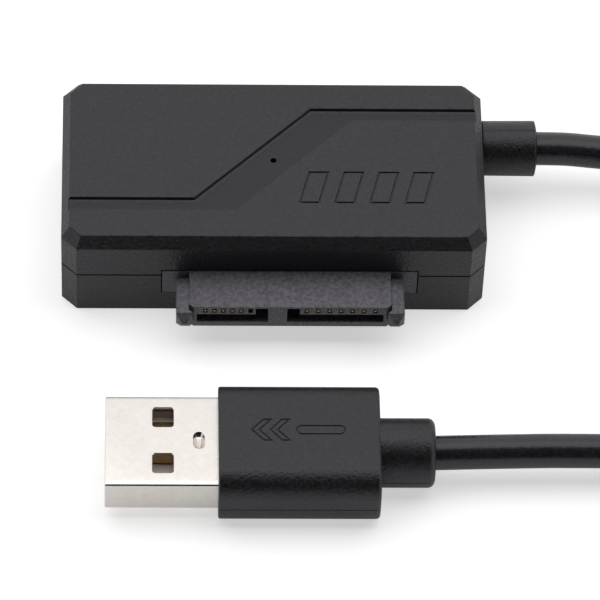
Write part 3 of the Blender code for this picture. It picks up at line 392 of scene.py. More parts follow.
def ease(bm, width, segments=3, least=20, chosen=None):
    """Rounds the edges sharper than least degrees."""
    bm.normal_update()
    edges = [e for e in bm.edges if len(e.link_faces) == 2 and e.calc_face_angle(0.0) > math.radians(least)
             and (chosen is None or chosen(e))]
    bmesh.ops.bevel(bm, geom=edges, offset=width, offset_type="OFFSET", segments=segments, profile=0.5,
                    affect="EDGES", clamp_overlap=True)
    return bm


def turned(profile, centre, along_x=True, segments=64):
    """A profile of radius and distance along the axis, turned about it. The ends are on the axis."""
    bm = bmesh.new()
    loops = []
    for radius, along in profile:
        if radius < TINY:
            loops.append([bm.verts.new(axis_point(0.0, 0.0, along, centre, along_x))])
            continue
        ring = []
        for i in range(segments):
            angle = 2 * math.pi * i / segments
            ring.append(bm.verts.new(axis_point(radius * math.cos(angle), radius * math.sin(angle),
                                                along, centre, along_x)))
        loops.append(ring)
    for near, far in zip(loops, loops[1:]):
        for i in range(segments):
            corners = [near[i - 1], near[i]] if len(near) > 1 else [near[0]]
            corners += [far[i], far[i - 1]] if len(far) > 1 else [far[0]]
            bm.faces.new(corners)
    bmesh.ops.recalc_face_normals(bm, faces=bm.faces)
    return bm


def axis_point(a, b, along, centre, along_x):
    if along_x:
        return (centre[0] + along, centre[1] + a, centre[2] + b)
    return (centre[0] + a, centre[1] + b, centre[2] + along)


def rod(start, end, diameter, along_x=False, segments=32):
    """A round bar along X or Z."""
    length = (end[0] - start[0]) if along_x else (end[2] - start[2])
    radius = diameter / 2
    return turned([(0.0, 0.0), (radius, 0.0), (radius, length), (0.0, length)], start, along_x, segments)


def worked(obj):
    """The object with its modifiers worked into its mesh."""
    bpy.context.view_layer.update()
    graph = bpy.context.evaluated_depsgraph_get()
    mesh = bpy.data.meshes.new_from_object(obj.evaluated_get(graph))
    old = obj.data
    obj.modifiers.clear()
    obj.data = mesh
    bpy.data.meshes.remove(old)
    return obj


def taken(obj):
    """The object's mesh as a bmesh. The object goes."""
    bm = bmesh.new()
    mesh = obj.data
    bm.from_mesh(mesh)
    bpy.data.objects.remove(obj, do_unlink=True)
    bpy.data.meshes.remove(mesh)
    return bm


def combined(obj, operation, tools):
    """The object joined with, or cut by, each of the bmeshes."""
    for number, tool in enumerate(tools):
        other = mesh_object(f"tool_{number}", tool)
        modifier = obj.modifiers.new("shape", "BOOLEAN")
        modifier.operation = operation
        modifier.object = other
        worked(obj)
        mesh = other.data
        bpy.data.objects.remove(other, do_unlink=True)
        bpy.data.meshes.remove(mesh)
    return obj


def cut(obj, *tools):
    return combined(obj, "DIFFERENCE", tools)


def join(obj, *tools):
    return combined(obj, "UNION", tools)


def smooth(obj, angle=35):
    """Smooth shading that leaves large flat faces flat."""
    obj.data.shade_smooth()
    obj.data.set_sharp_from_angle(angle=math.radians(angle))
    modifier = obj.modifiers.new("normals", "WEIGHTED_NORMAL")
    modifier.keep_sharp = True
    modifier.weight = 100
    return worked(obj)


# Outlines
def arc(centre, radius, first, last, steps):
    angles = [math.radians(first + (last - first) * i / steps) for i in range(steps + 1)]
    return [(centre[0] + radius * math.cos(a), centre[1] + radius * math.sin(a)) for a in angles]


def rounded_rectangle(width, height, radius, centre=(0.0, 0.0), steps=CORNER_STEPS):
    across, up = width / 2 - radius, height / 2 - radius
    points = []
    for quarter, (x, y) in enumerate(((across, up), (-across, up), (-across, -up), (across, -up))):
        points += arc((centre[0] + x, centre[1] + y), radius, 90 * quarter, 90 * quarter + 90, steps)
    return points


def housing_outline(inset, corner=None):
    half_x, half_y = HOUSING_LENGTH / 2 - inset, HOUSING_DEPTH / 2 - inset
    corner = corner or max(CORNER_CHAMFER - inset * (2 - math.sqrt(2)), LEAST_CORNER)
    return [
        (half_x - corner, -half_y), (half_x, corner - half_y), (half_x, half_y - corner),
        (half_x - corner, half_y), (corner - half_x, half_y), (-half_x, half_y - corner),
        (-half_x, corner - half_y), (corner - half_x, -half_y),
    ]


def grown(outline, distance):
    """A closed anticlockwise outline with each side moved outwards."""
    points = []
    count = len(outline)
    for i in range(count):
        before, here, after = (Vector(outline[(i + k) % count]) for k in (-1, 0, 1))
        first, second = (here - before).normalized(), (after - here).normalized()
        outwards = Vector((first.y, -first.x)) + Vector((second.y, -second.x))
        outwards.normalize()
        points.append(tuple(here + outwards * distance / max(outwards.dot(Vector((first.y, -first.x))), 0.3)))
    return points


def flared(outline, floor, top, flare):
    """A cutter for a sunk area whose upper rim is eased."""
    wide = grown(outline, flare)
    return stacked(((outline, floor), (outline, top - flare), (wide, top), (wide, top + OVERRUN)))


def line_cutter(path, top, width=LINE_WIDTH, depth=LINE_DEPTH):
    """A cutter for an engraved line round a closed path, narrower at its foot than at the surface."""
    rings = []
    for i, point in enumerate(path):
        here = Vector(point)
        arriving = (here - Vector(path[i - 1])).normalized()
        leaving = (Vector(path[(i + 1) % len(path)]) - here).normalized()
        mean = (arriving + leaving).normalized()
        side = Vector((-mean.y, mean.x)) / max(mean.dot(arriving), 0.4)
        foot, rim = side * width * 0.3, side * width * 0.5
        rings.append([(*(here - foot), top - depth), (*(here + foot), top - depth),
                      (*(here + rim), top), (*(here + rim), top + OVERRUN),
                      (*(here - rim), top + OVERRUN), (*(here - rim), top)])
    return loft(rings, endless=True)


# Materials
NOISE_LOW = 0.3
NOISE_HIGH = 0.7


def shader_of(name):
    made = bpy.data.materials.new(name)
    made.use_nodes = True
    return made, made.node_tree, made.node_tree.nodes["Principled BSDF"]


def noise(tree, scale, detail, roughness):
    place = tree.nodes.new("ShaderNodeTexCoord")
    texture = tree.nodes.new("ShaderNodeTexNoise")
    texture.inputs["Scale"].default_value = scale
    texture.inputs["Detail"].default_value = detail
    texture.inputs["Roughness"].default_value = roughness
    tree.links.new(place.outputs["Object"], texture.inputs["Vector"])
    return texture.outputs["Fac"]


def spread(tree, value, low, high):
    """The noise value brought into a range."""
    node = tree.nodes.new("ShaderNodeMapRange")
    node.inputs["From Min"].default_value = NOISE_LOW
    node.inputs["From Max"].default_value = NOISE_HIGH
    node.inputs["To Min"].default_value = low
    node.inputs["To Max"].default_value = high
    tree.links.new(value, node.inputs["Value"])
    return node.outputs["Result"]


def varied_colour(tree, value, dark, light):
    ramp = tree.nodes.new("ShaderNodeValToRGB")
    stops = ((NOISE_LOW, dark), (NOISE_HIGH, light))
    for element, (position, colour) in zip(ramp.color_ramp.elements, stops):
        element.position = position
        element.color = (*colour, 1.0)
    tree.links.new(value, ramp.inputs["Fac"])
    return ramp.outputs["Color"]


def surface(name, colour, roughness, metallic=0.0, mottle=0.12, mottle_size=0.0012, grain_size=0.00016,
            grain=0.25, roughness_swing=0.05, specular=0.5, tint=(1.0, 1.0, 1.0)):
    """A moulded or plated surface: colour that varies a little, and a fine grain."""
    made, tree, shader = shader_of(name)
    patches = noise(tree, 1 / mottle_size, 3.0, 0.5)
    fine = noise(tree, 1 / grain_size, 2.0, 0.6)
    dark = [c * (1 - mottle) for c in colour]
    light = [c * (1 + mottle) for c in colour]
    tree.links.new(varied_colour(tree, patches, dark, light), shader.inputs["Base Color"])
    tree.links.new(spread(tree, fine, roughness - roughness_swing, roughness + roughness_swing),
                   shader.inputs["Roughness"])
    shader.inputs["Metallic"].default_value = metallic
    shader.inputs["Specular IOR Level"].default_value = specular
    shader.inputs["Specular Tint"].default_value = (*tint, 1.0)
    bump = tree.nodes.new("ShaderNodeBump")
    bump.inputs["Strength"].default_value = grain
    bump.inputs["Distance"].default_value = grain_size * 0.25
    tree.links.new(fine, bump.inputs["Height"])
    tree.links.new(bump.outputs["Normal"], shader.inputs["Normal"])
    return made


SHEEN = (0.960, 0.925, 1.0)
BLACK = (0.0080, 0.0074, 0.0084)
HOUSING_PLASTIC = surface("housing_plastic_look", BLACK, 0.42, mottle=0.95, mottle_size=0.00032,
                          grain_size=0.00036, grain=1.2, roughness_swing=0.06, specular=0.54, tint=SHEEN)
GROOVE_PLASTIC = surface("groove_plastic_look", BLACK, 0.42, mottle=0.5, mottle_size=0.0004,
                         grain_size=0.00036, grain=0.5, specular=0.46, tint=SHEEN)
# Painted shade: the groove's walls, a darker and less glossy copy of the lid's black plastic, so that they
# stay dark under any light.
GROOVE_WALL_PAINTED_SHADE = surface("groove_wall_painted_shade_look", (0.0050, 0.0047, 0.0052), 0.50, mottle=0.3,
                              mottle_size=0.0004, specular=0.20, tint=SHEEN)
CONNECTOR_PLASTIC = surface("connector_plastic_look", (0.124, 0.119, 0.137), 0.45, mottle=0.40,
                            mottle_size=0.00035, grain_size=0.00020, grain=0.9, roughness_swing=0.12,
                            tint=SHEEN)
GRIP_PLASTIC = surface("grip_plastic_look", BLACK, 0.42, mottle=0.90, mottle_size=0.00032,
                       grain_size=0.00030, grain=0.9, roughness_swing=0.08, specular=0.54, tint=SHEEN)
CABLE_SHEATH = surface("cable_sheath_look", (0.0180, 0.0170, 0.0190), 0.27, mottle=0.20,
                       mottle_size=0.0006, grain_size=0.00030, grain=0.25, specular=0.54, tint=SHEEN)
NICKEL = surface("nickel_look", (0.755, 0.715, 0.680), 0.24, metallic=1.0, mottle=0.03, mottle_size=0.0008,
                 grain_size=0.00018, grain=0.10, roughness_swing=0.04)
GOLD = surface("gold_look", (0.86, 0.60, 0.24), 0.25, metallic=1.0, mottle=0.05, grain=0.08)
# Painted shade: the gold of the plug's contacts, darkened and browned because they lie in shade inside the
# shell.
PLUG_CONTACT_PAINTED_SHADE = surface("plug_contact_painted_shade_look", (0.46, 0.34, 0.20), 0.30, metallic=1.0, mottle=0.15, grain=0.2)
TONGUE_PLASTIC = surface("tongue_look", (0.78, 0.68, 0.58), 0.45, mottle=0.08)
BOARD_RESIN = surface("board_look", (0.018, 0.14, 0.06), 0.35, mottle=0.15, mottle_size=0.002, grain=0.2)
CHIP_RESIN = surface("chip_look", (0.018, 0.018, 0.019), 0.55, mottle=0.15, grain=0.4)
TINNED = surface("tinned_look", (0.66, 0.67, 0.68), 0.3, metallic=1.0, mottle=0.05, grain=0.15)
CERAMIC = surface("ceramic_look", (0.42, 0.30, 0.20), 0.5, mottle=0.1, grain=0.2)
LAMP_RESIN = surface("lamp_look", (0.80, 0.82, 0.76), 0.2, mottle=0.03, grain=0.05)
TIE_SLEEVE = surface("tie_look", (0.010, 0.010, 0.011), 0.35, mottle=0.1, grain=0.15)
WIRE_COLOURS = {
    "ground_wire": (0.02, 0.02, 0.02), "power_wire": (0.55, 0.03, 0.03),
    "data_minus_wire": (0.75, 0.75, 0.72), "data_plus_wire": (0.04, 0.35, 0.08),
    "transmit_minus_wire": (0.70, 0.45, 0.05), "transmit_plus_wire": (0.05, 0.12, 0.55),
    "receive_minus_wire": (0.30, 0.08, 0.45), "receive_plus_wire": (0.75, 0.22, 0.03),
}


def dress_nodes():
    """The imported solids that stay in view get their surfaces."""
    looks = {
        "circuit_board": BOARD_RESIN, "bridge_chip": CHIP_RESIN, "flash_chip": CHIP_RESIN,
        "voltage_regulator": CHIP_RESIN, "inductor": CHIP_RESIN, "crystal": TINNED,
        "status_lamp": LAMP_RESIN, "plug_tongue": TONGUE_PLASTIC,
    }
    for name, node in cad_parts.items():
        look = looks.get(name)
        if name.startswith("capacitor"):
            look = CERAMIC
        elif name.endswith("_wire"):
            look = surface(f"{name}_look", WIRE_COLOURS[name], 0.35, mottle=0.05, grain=0.1)
        elif "_contact" in name:
            # The plug's contacts take the gold darkened with painted shade.
            look = PLUG_CONTACT_PAINTED_SHADE if name.startswith("plug_") else GOLD
        if look:
            node.data.materials.clear()
            node.data.materials.append(look)


def fitted(obj, slot, *nodes):
    """The piece rides with the body in place of these solids."""
    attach(obj, "root")
    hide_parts(*nodes)
    return obj


# Housing
def shifted(line, distance):
    """An open line moved to its right-hand side."""
    points = []
    for before, point, after in zip([None, *line], line, [*line[1:], None]):
        here = Vector(point)
        ways = [(Vector(b) - Vector(a)).normalized() for a, b in ((before, point), (point, after)) if a and b]
        mean = (ways[0] + ways[-1]).normalized()
        points.append(tuple(here + Vector((mean.y, -mean.x)) * distance / mean.dot(ways[0])))
    return points


def groove_cutter():
    """The lid's shallow groove, whose far wall slopes and has a fillet at its foot."""
    far_left, far_right = -HOUSING_RIGHT - OVERRUN, HOUSING_RIGHT + OVERRUN
    far_edge = [
        (far_left, GROOVE_LEFT_Y), (GROOVE_LEFT_BEND_X, GROOVE_LEFT_Y),
        (GROOVE_RIGHT_BEND_X, GROOVE_RIGHT_Y), (far_right, GROOVE_RIGHT_Y),
    ]
    near_edge = [
        (far_right, GROOVE_RIGHT_Y - GROOVE_WIDTH),
        (GROOVE_RIGHT_BEND_X + GROOVE_SLANT_SHIFT, GROOVE_RIGHT_Y - GROOVE_WIDTH),
        (GROOVE_LEFT_BEND_X + GROOVE_SLANT_SHIFT, GROOVE_LEFT_Y - GROOVE_WIDTH),
        (far_left, GROOVE_LEFT_Y - GROOVE_WIDTH),
    ]
    rings = [(shifted(far_edge, far) + shifted(near_edge, near), HOUSING_HEIGHT - depth)
             for far, near, depth in GROOVE_LEVELS]
    rings.append((rings[-1][0], HOUSING_HEIGHT + OVERRUN))
    return stacked(rings)


def connector_mouth():
    half = CONNECTOR_WIDTH / 2 + WING_REACH + MOUTH_GAP
    return box((CONNECTOR_X - half, HOUSING_FRONT - OVERRUN, WING_BOTTOM - MOUTH_GAP_BELOW),
               (CONNECTOR_X + half, HOUSING_FRONT + WALL + OVERRUN, WING_TOP + FIT_GAP))


def cable_hole():
    return rod((HOUSING_RIGHT - WALL - OVERRUN, RELIEF_Y, SEAM_HEIGHT),
               (HOUSING_RIGHT + OVERRUN, RELIEF_Y, SEAM_HEIGHT), RELIEF_NECK_DIAMETER + 2 * FIT_GAP, True)


def motif_cutters():
    """A plain row of slanting outlined bars on the lid."""
    cutters = []
    for number in range(MOTIF_BARS):
        left = MOTIF_LEFT + number * MOTIF_PITCH
        path = [(left, MOTIF_FRONT), (left + MOTIF_WIDTH, MOTIF_FRONT),
                (left + MOTIF_WIDTH + MOTIF_SLANT, MOTIF_FRONT + MOTIF_HEIGHT),
                (left + MOTIF_SLANT, MOTIF_FRONT + MOTIF_HEIGHT)]
        cutters.append(line_cutter(path, HOUSING_HEIGHT))
    return cutters


def finish_groove(shell):
    """The groove's floor is smoother than the rest of the lid, and its sloping walls get painted shade: a
    darker, less glossy copy of the lid's plastic.
    """
    slots = shell.data.materials
    slots.append(GROOVE_PLASTIC)
    slots.append(GROOVE_WALL_PAINTED_SHADE)
    floor = HOUSING_HEIGHT - GROOVE_LEVELS[0][2]
    inside_x, inside_y = HOUSING_RIGHT - LID_CHAMFER_WIDTH, -HOUSING_FRONT - LID_CHAMFER_WIDTH
    level, steep = 0.99, 0.9
    for face in shell.data.polygons:
        x, y, z = face.center
        if abs(z - floor) < TINY and face.normal.z > level:
            face.material_index = slots.find(GROOVE_PLASTIC.name)
        # The groove's sloping walls get the painted shade.
        elif z > floor and face.normal.z < steep and abs(x) < inside_x and abs(y) < inside_y:
            face.material_index = slots.find(GROOVE_WALL_PAINTED_SHADE.name)


def make_upper_shell():
    bottom = SEAM_HEIGHT + FIT_GAP / 2
    chamfer_foot = HOUSING_HEIGHT - LID_CHAMFER_DROP
    levels = ((0.0, CORNER_CHAMFER, bottom), (0.0, CORNER_CHAMFER, chamfer_foot),
              (LID_CHAMFER_WIDTH, LID_CORNER, HOUSING_HEIGHT - LID_EDGE_DROP),
              (LID_CHAMFER_WIDTH + LID_EDGE, LID_CORNER, HOUSING_HEIGHT))
    body = stacked((housing_outline(inset, corner), z) for inset, corner, z in levels)
    ease(body, EASE, chosen=lambda e: max(v.co.z for v in e.verts) > bottom + TINY)
    shell = mesh_object("upper_shell_look", body, HOUSING_PLASTIC)
    lip_room = housing_outline(WALL - LIP_THICKNESS - FIT_GAP)
    cut(shell, prism(housing_outline(WALL), bottom - OVERRUN, HOUSING_HEIGHT - LID_THICKNESS),
        prism(lip_room, bottom - OVERRUN, SEAM_HEIGHT + LIP_HEIGHT + FIT_GAP), groove_cutter(),
        rod((*PINHOLE, HOUSING_HEIGHT - LID_THICKNESS - OVERRUN), (*PINHOLE, HOUSING_HEIGHT + OVERRUN),
            PINHOLE_DIAMETER))
    finish_groove(shell)
    foot = BOARD_TOP + FIT_GAP
    for x, y in POSTS:
        join(shell, rod((x, y, foot), (x, y, HOUSING_HEIGHT - LID_THICKNESS / 2), POST_DIAMETER))
        cut(shell, rod((x, y, foot - OVERRUN), (x, y, foot + PIN_ENGAGEMENT), PIN_DIAMETER + 2 * FIT_GAP))
    cut(shell, connector_mouth(), cable_hole(), *motif_cutters())
    return fitted(shell, "housing_plastic", "upper_shell")


def make_lower_shell():
    top = SEAM_HEIGHT - FIT_GAP / 2
    body = prism(housing_outline(0.0), 0.0, top)
    ease(body, EASE, chosen=lambda e: min(v.co.z for v in e.verts) < TINY)
    shell = mesh_object("lower_shell_look", body, HOUSING_PLASTIC)
    join(shell, prism(housing_outline(WALL - LIP_THICKNESS), FLOOR_THICKNESS / 2, SEAM_HEIGHT + LIP_HEIGHT))
    cut(shell, prism(housing_outline(WALL), FLOOR_THICKNESS, SEAM_HEIGHT + LIP_HEIGHT + OVERRUN))
    for x, y in POSTS:
        join(shell, rod((x, y, FLOOR_THICKNESS / 2), (x, y, BOARD_BOTTOM - FIT_GAP), POST_DIAMETER),
             rod((x, y, FLOOR_THICKNESS), (x, y, BOARD_TOP + PIN_ENGAGEMENT), PIN_DIAMETER))
    cut(shell, connector_mouth(), cable_hole())
    return fitted(shell, "housing_plastic", "lower_shell")


# SATA receptacle
def block_outline():
    right = [(BLOCK_HALF - NOTCH_WIDTH / 2, CONNECTOR_BOTTOM), (BLOCK_HALF, CONNECTOR_BOTTOM + NOTCH_DEPTH),
             (BLOCK_HALF, CONNECTOR_TOP)]
    left = [(-x, z) for x, z in right[::-1]]
    return [(CONNECTOR_X + x, z) for x, z in right + left]


def arm_section(inner, knee, low, high):
    """A guide arm's section, as the distance from the connector's middle and z."""
    outer = CONNECTOR_WIDTH / 2
    return [
        (inner, low + knee - inner), (knee, low), (outer - ARM_CORNER, low), (outer, low + ARM_CORNER),
        (outer, high - ARM_EDGE), (outer - ARM_EDGE, high), (inner, high),
    ]


def guide_arm(side):
    """A guide arm rooted in the block, lower at its rear, with a flare and a tapered nose in front."""
    root, knee = BLOCK_HALF - ARM_ROOT, BLOCK_HALF + NOTCH_WIDTH / 4
    low, high = CONNECTOR_BOTTOM + ARM_STEP, CONNECTOR_TOP - ARM_STEP
    base = arm_section(BLOCK_HALF - ARM_FLARE, knee - ARM_FLARE / 2, low + ARM_RISE, high)
    middle = [(min(values) + max(values)) / 2 for values in zip(*base)]
    spans = [max(values) - min(values) for values in zip(*base)]
    shares = (ARM_TIP_WIDTH / spans[0], ARM_TIP_HEIGHT / spans[1])
    end = [tuple(m + (v - m) * share for v, m, share in zip(point, middle, shares)) for point in base]
    rings = (
        (CONNECTOR_REAR - ARM_END_STEP, arm_section(root, knee, low, high)),
        (CONNECTOR_FACE - ARM_NECK, arm_section(root, knee, low + ARM_RISE / 2, high)),
        (CONNECTOR_FACE - ARM_LEAD, base),
        (CONNECTOR_FACE - ARM_TIP_LENGTH, end),
    )
    body = loft([[(CONNECTOR_X + side * across, y, z) for across, z in section] for y, section in rings])
    arm = mesh_object("arm", ease(body, FINE_EASE, 2))
    free, slope = BLOCK_HALF + ARM_GAP, ARM_FLARE + ARM_GAP
    gap = [(root - OVERRUN, ARM_FREE_LENGTH), (free, ARM_FREE_LENGTH), (free, -ARM_NECK),
           (free - slope, -ARM_NECK - slope), (root - OVERRUN, -ARM_NECK - slope)]
    ramp = [(HOUSING_FRONT - ARM_RELIEF_LENGTH, high + OVERRUN), (HOUSING_FRONT - ARM_RELIEF_LENGTH, high),
            (HOUSING_FRONT - ARM_RELIEF_LENGTH / 3, high - ARM_RELIEF_DEPTH / 2),
            (HOUSING_FRONT - ARM_RELIEF_LENGTH / 3, high - ARM_RELIEF_DEPTH),
            (CONNECTOR_REAR + OVERRUN, high - ARM_RELIEF_DEPTH), (CONNECTOR_REAR + OVERRUN, high + OVERRUN)]
    reach = CONNECTOR_WIDTH / 2 + OVERRUN
    left, right = sorted((CONNECTOR_X + side * (root - OVERRUN), CONNECTOR_X + side * reach))
    cut(arm, prism(ramp, left, right, "X"),
        prism([(CONNECTOR_X + side * x, CONNECTOR_FACE + y) for x, y in gap],
              CONNECTOR_BOTTOM - OVERRUN, CONNECTOR_TOP + OVERRUN))
    return taken(arm)


def block_lead(side):
    """A cutter for the chamfer on the block's front corner beside a guide arm."""
    across = [(BLOCK_HALF - BLOCK_LEAD, -OVERRUN), (BLOCK_HALF + OVERRUN, -OVERRUN),
              (BLOCK_HALF + OVERRUN, BLOCK_LEAD + OVERRUN), (BLOCK_HALF - BLOCK_LEAD, 0.0)]
    return prism([(CONNECTOR_X + side * x, CONNECTOR_FACE + y) for x, y in across],
                 CONNECTOR_BOTTOM - OVERRUN, CONNECTOR_TOP + OVERRUN)


def slot_cutters():
    power = [
        (POWER_LEFT, SLOT_BOTTOM), (POWER_RIGHT, SLOT_BOTTOM), (POWER_RIGHT, CHANNEL_TOP),
        (POWER_RIGHT - KEY_WIDTH, CHANNEL_TOP), (POWER_RIGHT - KEY_WIDTH, SLOT_TOP), (POWER_LEFT, SLOT_TOP),
    ]
    signal = [
        (SIGNAL_LEFT, SLOT_BOTTOM), (SIGNAL_RIGHT, SLOT_BOTTOM), (SIGNAL_RIGHT, SLOT_TOP),
        (SIGNAL_LEFT + KEY_WIDTH, SLOT_TOP), (SIGNAL_LEFT + KEY_WIDTH, CHANNEL_TOP),
        (SIGNAL_LEFT, CHANNEL_TOP),
    ]
    cutters = []
    for outline in (power, signal):
        wide = grown(outline, SLOT_FLARE)
        levels = ((wide, CONNECTOR_FACE - OVERRUN), (wide, CONNECTOR_FACE),
                  (outline, CONNECTOR_FACE + SLOT_FLARE), (outline, CONNECTOR_FACE + SLOT_DEPTH))
        cutters.append(loft([[(x, y, z) for x, z in shape] for shape, y in levels]))
    return cutters


def channel_cutters():
    """The contacts' channels, and the openings through which the contacts bow into the slots."""
    floor, inside = CHANNEL_TOP - CHANNEL_HEIGHT, SLOT_TOP - OPENING_DROP
    front, rear = CONNECTOR_FACE - OVERRUN, CONNECTOR_REAR + OVERRUN
    lip, half, inset = CONNECTOR_FACE + SPRING_LIP, CHANNEL_WIDTH / 2, OPENING_INSET
    end, roof = lip + SPRING_LENGTH, CHANNEL_TOP - CHANNEL_HEIGHT / 2
    channels = [box((x - half, front, floor), (x + half, rear, CHANNEL_TOP)) for x in POWER_XS + SIGNAL_XS]
    openings = [box((x - half + inset, lip, inside), (x + half - inset, end, roof))
                for x in POWER_XS[:POWER_CONTACTS] + SIGNAL_XS]
    return merged(*channels), merged(*openings)


def make_receptacle():
    body = mesh_object("sata_connector_look", prism(block_outline(), CONNECTOR_FACE, CONNECTOR_REAR, "Y"))
    cut(body, block_lead(-1), block_lead(1))
    block = taken(body)
    body = mesh_object("sata_connector_look", ease(block, FINE_EASE, 2), CONNECTOR_PLASTIC)
    edge = CONNECTOR_WIDTH / 2
    join(body, guide_arm(-1), guide_arm(1),
         ease(box((CONNECTOR_X - edge - WING_REACH, HOUSING_FRONT, WING_BOTTOM),
                  (CONNECTOR_X + edge + WING_REACH, HOUSING_FRONT + WING_DEPTH, WING_TOP)), FINE_EASE, 2))
    for side in (-1, 1):
        x, y = CONNECTOR_X + side * (BLOCK_HALF - PEG_INSET), CONNECTOR_REAR - PEG_SETBACK
        join(body, rod((x, y, CONNECTOR_BOTTOM - PEG_LENGTH), (x, y, CONNECTOR_BOTTOM + PEG_DIAMETER / 2),
                       PEG_DIAMETER))
    cut(body, *slot_cutters(), *channel_cutters())
    return fitted(body, "connector_plastic", "sata_connector_body")


def contact_path():
    """A sprung contact's centre line as y and z, from its tip in the window to its foot on the board."""
    middle = CHANNEL_TOP - CHANNEL_HEIGHT / 2
    spring = CONNECTOR_FACE + SPRING_LIP
    tail, foot = CONNECTOR_REAR + CONTACT_TAIL, BOARD_TOP + SOLDER_GAP + CONTACT_THICKNESS / 2
    return [
        (CONNECTOR_FACE + CONTACT_TIP, middle - CONTACT_TIP / 2), (CONNECTOR_FACE + 3 * CONTACT_TIP, middle),
        (spring + 0.25 * SPRING_LENGTH, middle - SPRING_BOW),
        (spring + 0.45 * SPRING_LENGTH, middle - SPRING_BOW),
        (spring + 0.9 * SPRING_LENGTH, middle), (tail - CONTACT_THICKNESS, middle),
        (tail, middle - CONTACT_THICKNESS), (tail, foot + CONTACT_THICKNESS),
        (tail + CONTACT_THICKNESS, foot), (tail + CONTACT_FOOT, foot),
    ]


def make_contact(name, x):
    """A contact with eased edges and a rounded tip that shows in its window."""
    path, half = contact_path(), CONTACT_THICKNESS / 2
    outline = shifted(path, -half) + shifted(path, half)[::-1]
    strip = ease(prism(outline, x - CONTACT_WIDTH / 2, x + CONTACT_WIDTH / 2, "X"), CONTACT_EASE, 2)
    contact = mesh_object(f"{name}_look", strip, GOLD)
    radius, steps = CONTACT_TIP_DIAMETER / 2, 8
    ball = [(radius * math.sin(a), -radius * math.cos(a))
            for a in (math.pi * i / steps for i in range(1, steps))]
    ball = [(0.0, -radius), *ball, (0.0, radius)]
    join(contact, turned(ball, (x, *path[0]), False, 2 * steps))
    return fitted(smooth(contact, 40), "gold_plating", name)


def make_contacts():
    for number, x in enumerate(POWER_XS[:POWER_CONTACTS], 1):
        make_contact(f"power_contact_{number}", x)
    for number, x in enumerate(SIGNAL_XS, 1):
        make_contact(f"signal_contact_{number}", x)


# Strain relief
def make_strain_relief():
    neck, flange, barrel = RELIEF_NECK_DIAMETER / 2, RELIEF_FLANGE_DIAMETER / 2, RELIEF_DIAMETER / 2
    wall_inside = HOUSING_RIGHT - WALL - FIT_GAP
    profile = [(0.0, RELIEF_INNER_END), (flange, RELIEF_INNER_END), (flange, wall_inside),
               (neck, wall_inside), (neck, RELIEF_START)]
    profile += [(barrel - inwards, RELIEF_START + along) for inwards, along in RELIEF_SHOULDER]
    profile += [(barrel - inwards, RELIEF_END - short) for inwards, short in RELIEF_RIM]
    profile += [(barrel * share, RELIEF_END - short) for share, short in RELIEF_FACE]
    profile.append((0.0, RELIEF_END))
    relief = mesh_object("strain_relief_look", turned(profile, (0.0, RELIEF_Y, SEAM_HEIGHT)), GRIP_PLASTIC)
    line = MOULD_LINE_HALF
    cut(relief, box((RELIEF_START - OVERRUN, RELIEF_Y - line, SEAM_HEIGHT + barrel - line),
                    (RELIEF_END + OVERRUN, RELIEF_Y + line, SEAM_HEIGHT + barrel + OVERRUN)))
    return fitted(smooth(relief), "grip_plastic", "strain_relief")


# Plug
def shell_section(inset):
    """The shell's outside, bevelled along its edges before a tight corner."""
    across, up = SHELL_WIDTH / 2 - inset, SHELL_HEIGHT / 2 - inset
    radius = SHELL_CORNER - inset
    tilt = math.degrees(math.atan2(SHELL_BEVEL_DROP, SHELL_BEVEL))
    quarter = arc((across - radius, up - SHELL_BEVEL_DROP - radius), radius, 0, 90 - tilt, 4)
    quarter.append((quarter[-1][0] - SHELL_BEVEL, up))
    upper = quarter + [(-y, z) for y, z in quarter[::-1]]
    return upper + [(y, -z) for y, z in upper[::-1]]


def grip_section(inset):
    return rounded_rectangle(GRIP_WIDTH - 2 * inset, GRIP_HEIGHT - 2 * inset, GRIP_CORNER - inset)


def end_rings(section, start, end, start_radius, end_radius, steps=5):
    """Rings along X for a bar of some section, given as a function of its inset, with two rounded ends."""
    angles = [math.pi / 2 * i / steps for i in range(steps + 1)]
    rings = [(start + start_radius * (1 - math.cos(a)), start_radius * (1 - math.sin(a))) for a in angles]
    rings += [(end - end_radius * (1 - math.cos(a)), end_radius * (1 - math.sin(a))) for a in angles[::-1]]
    return [[(x, PLUG_Y + y, PLUG_AXIS_Z + z) for y, z in section(inset)] for x, inset in rings]


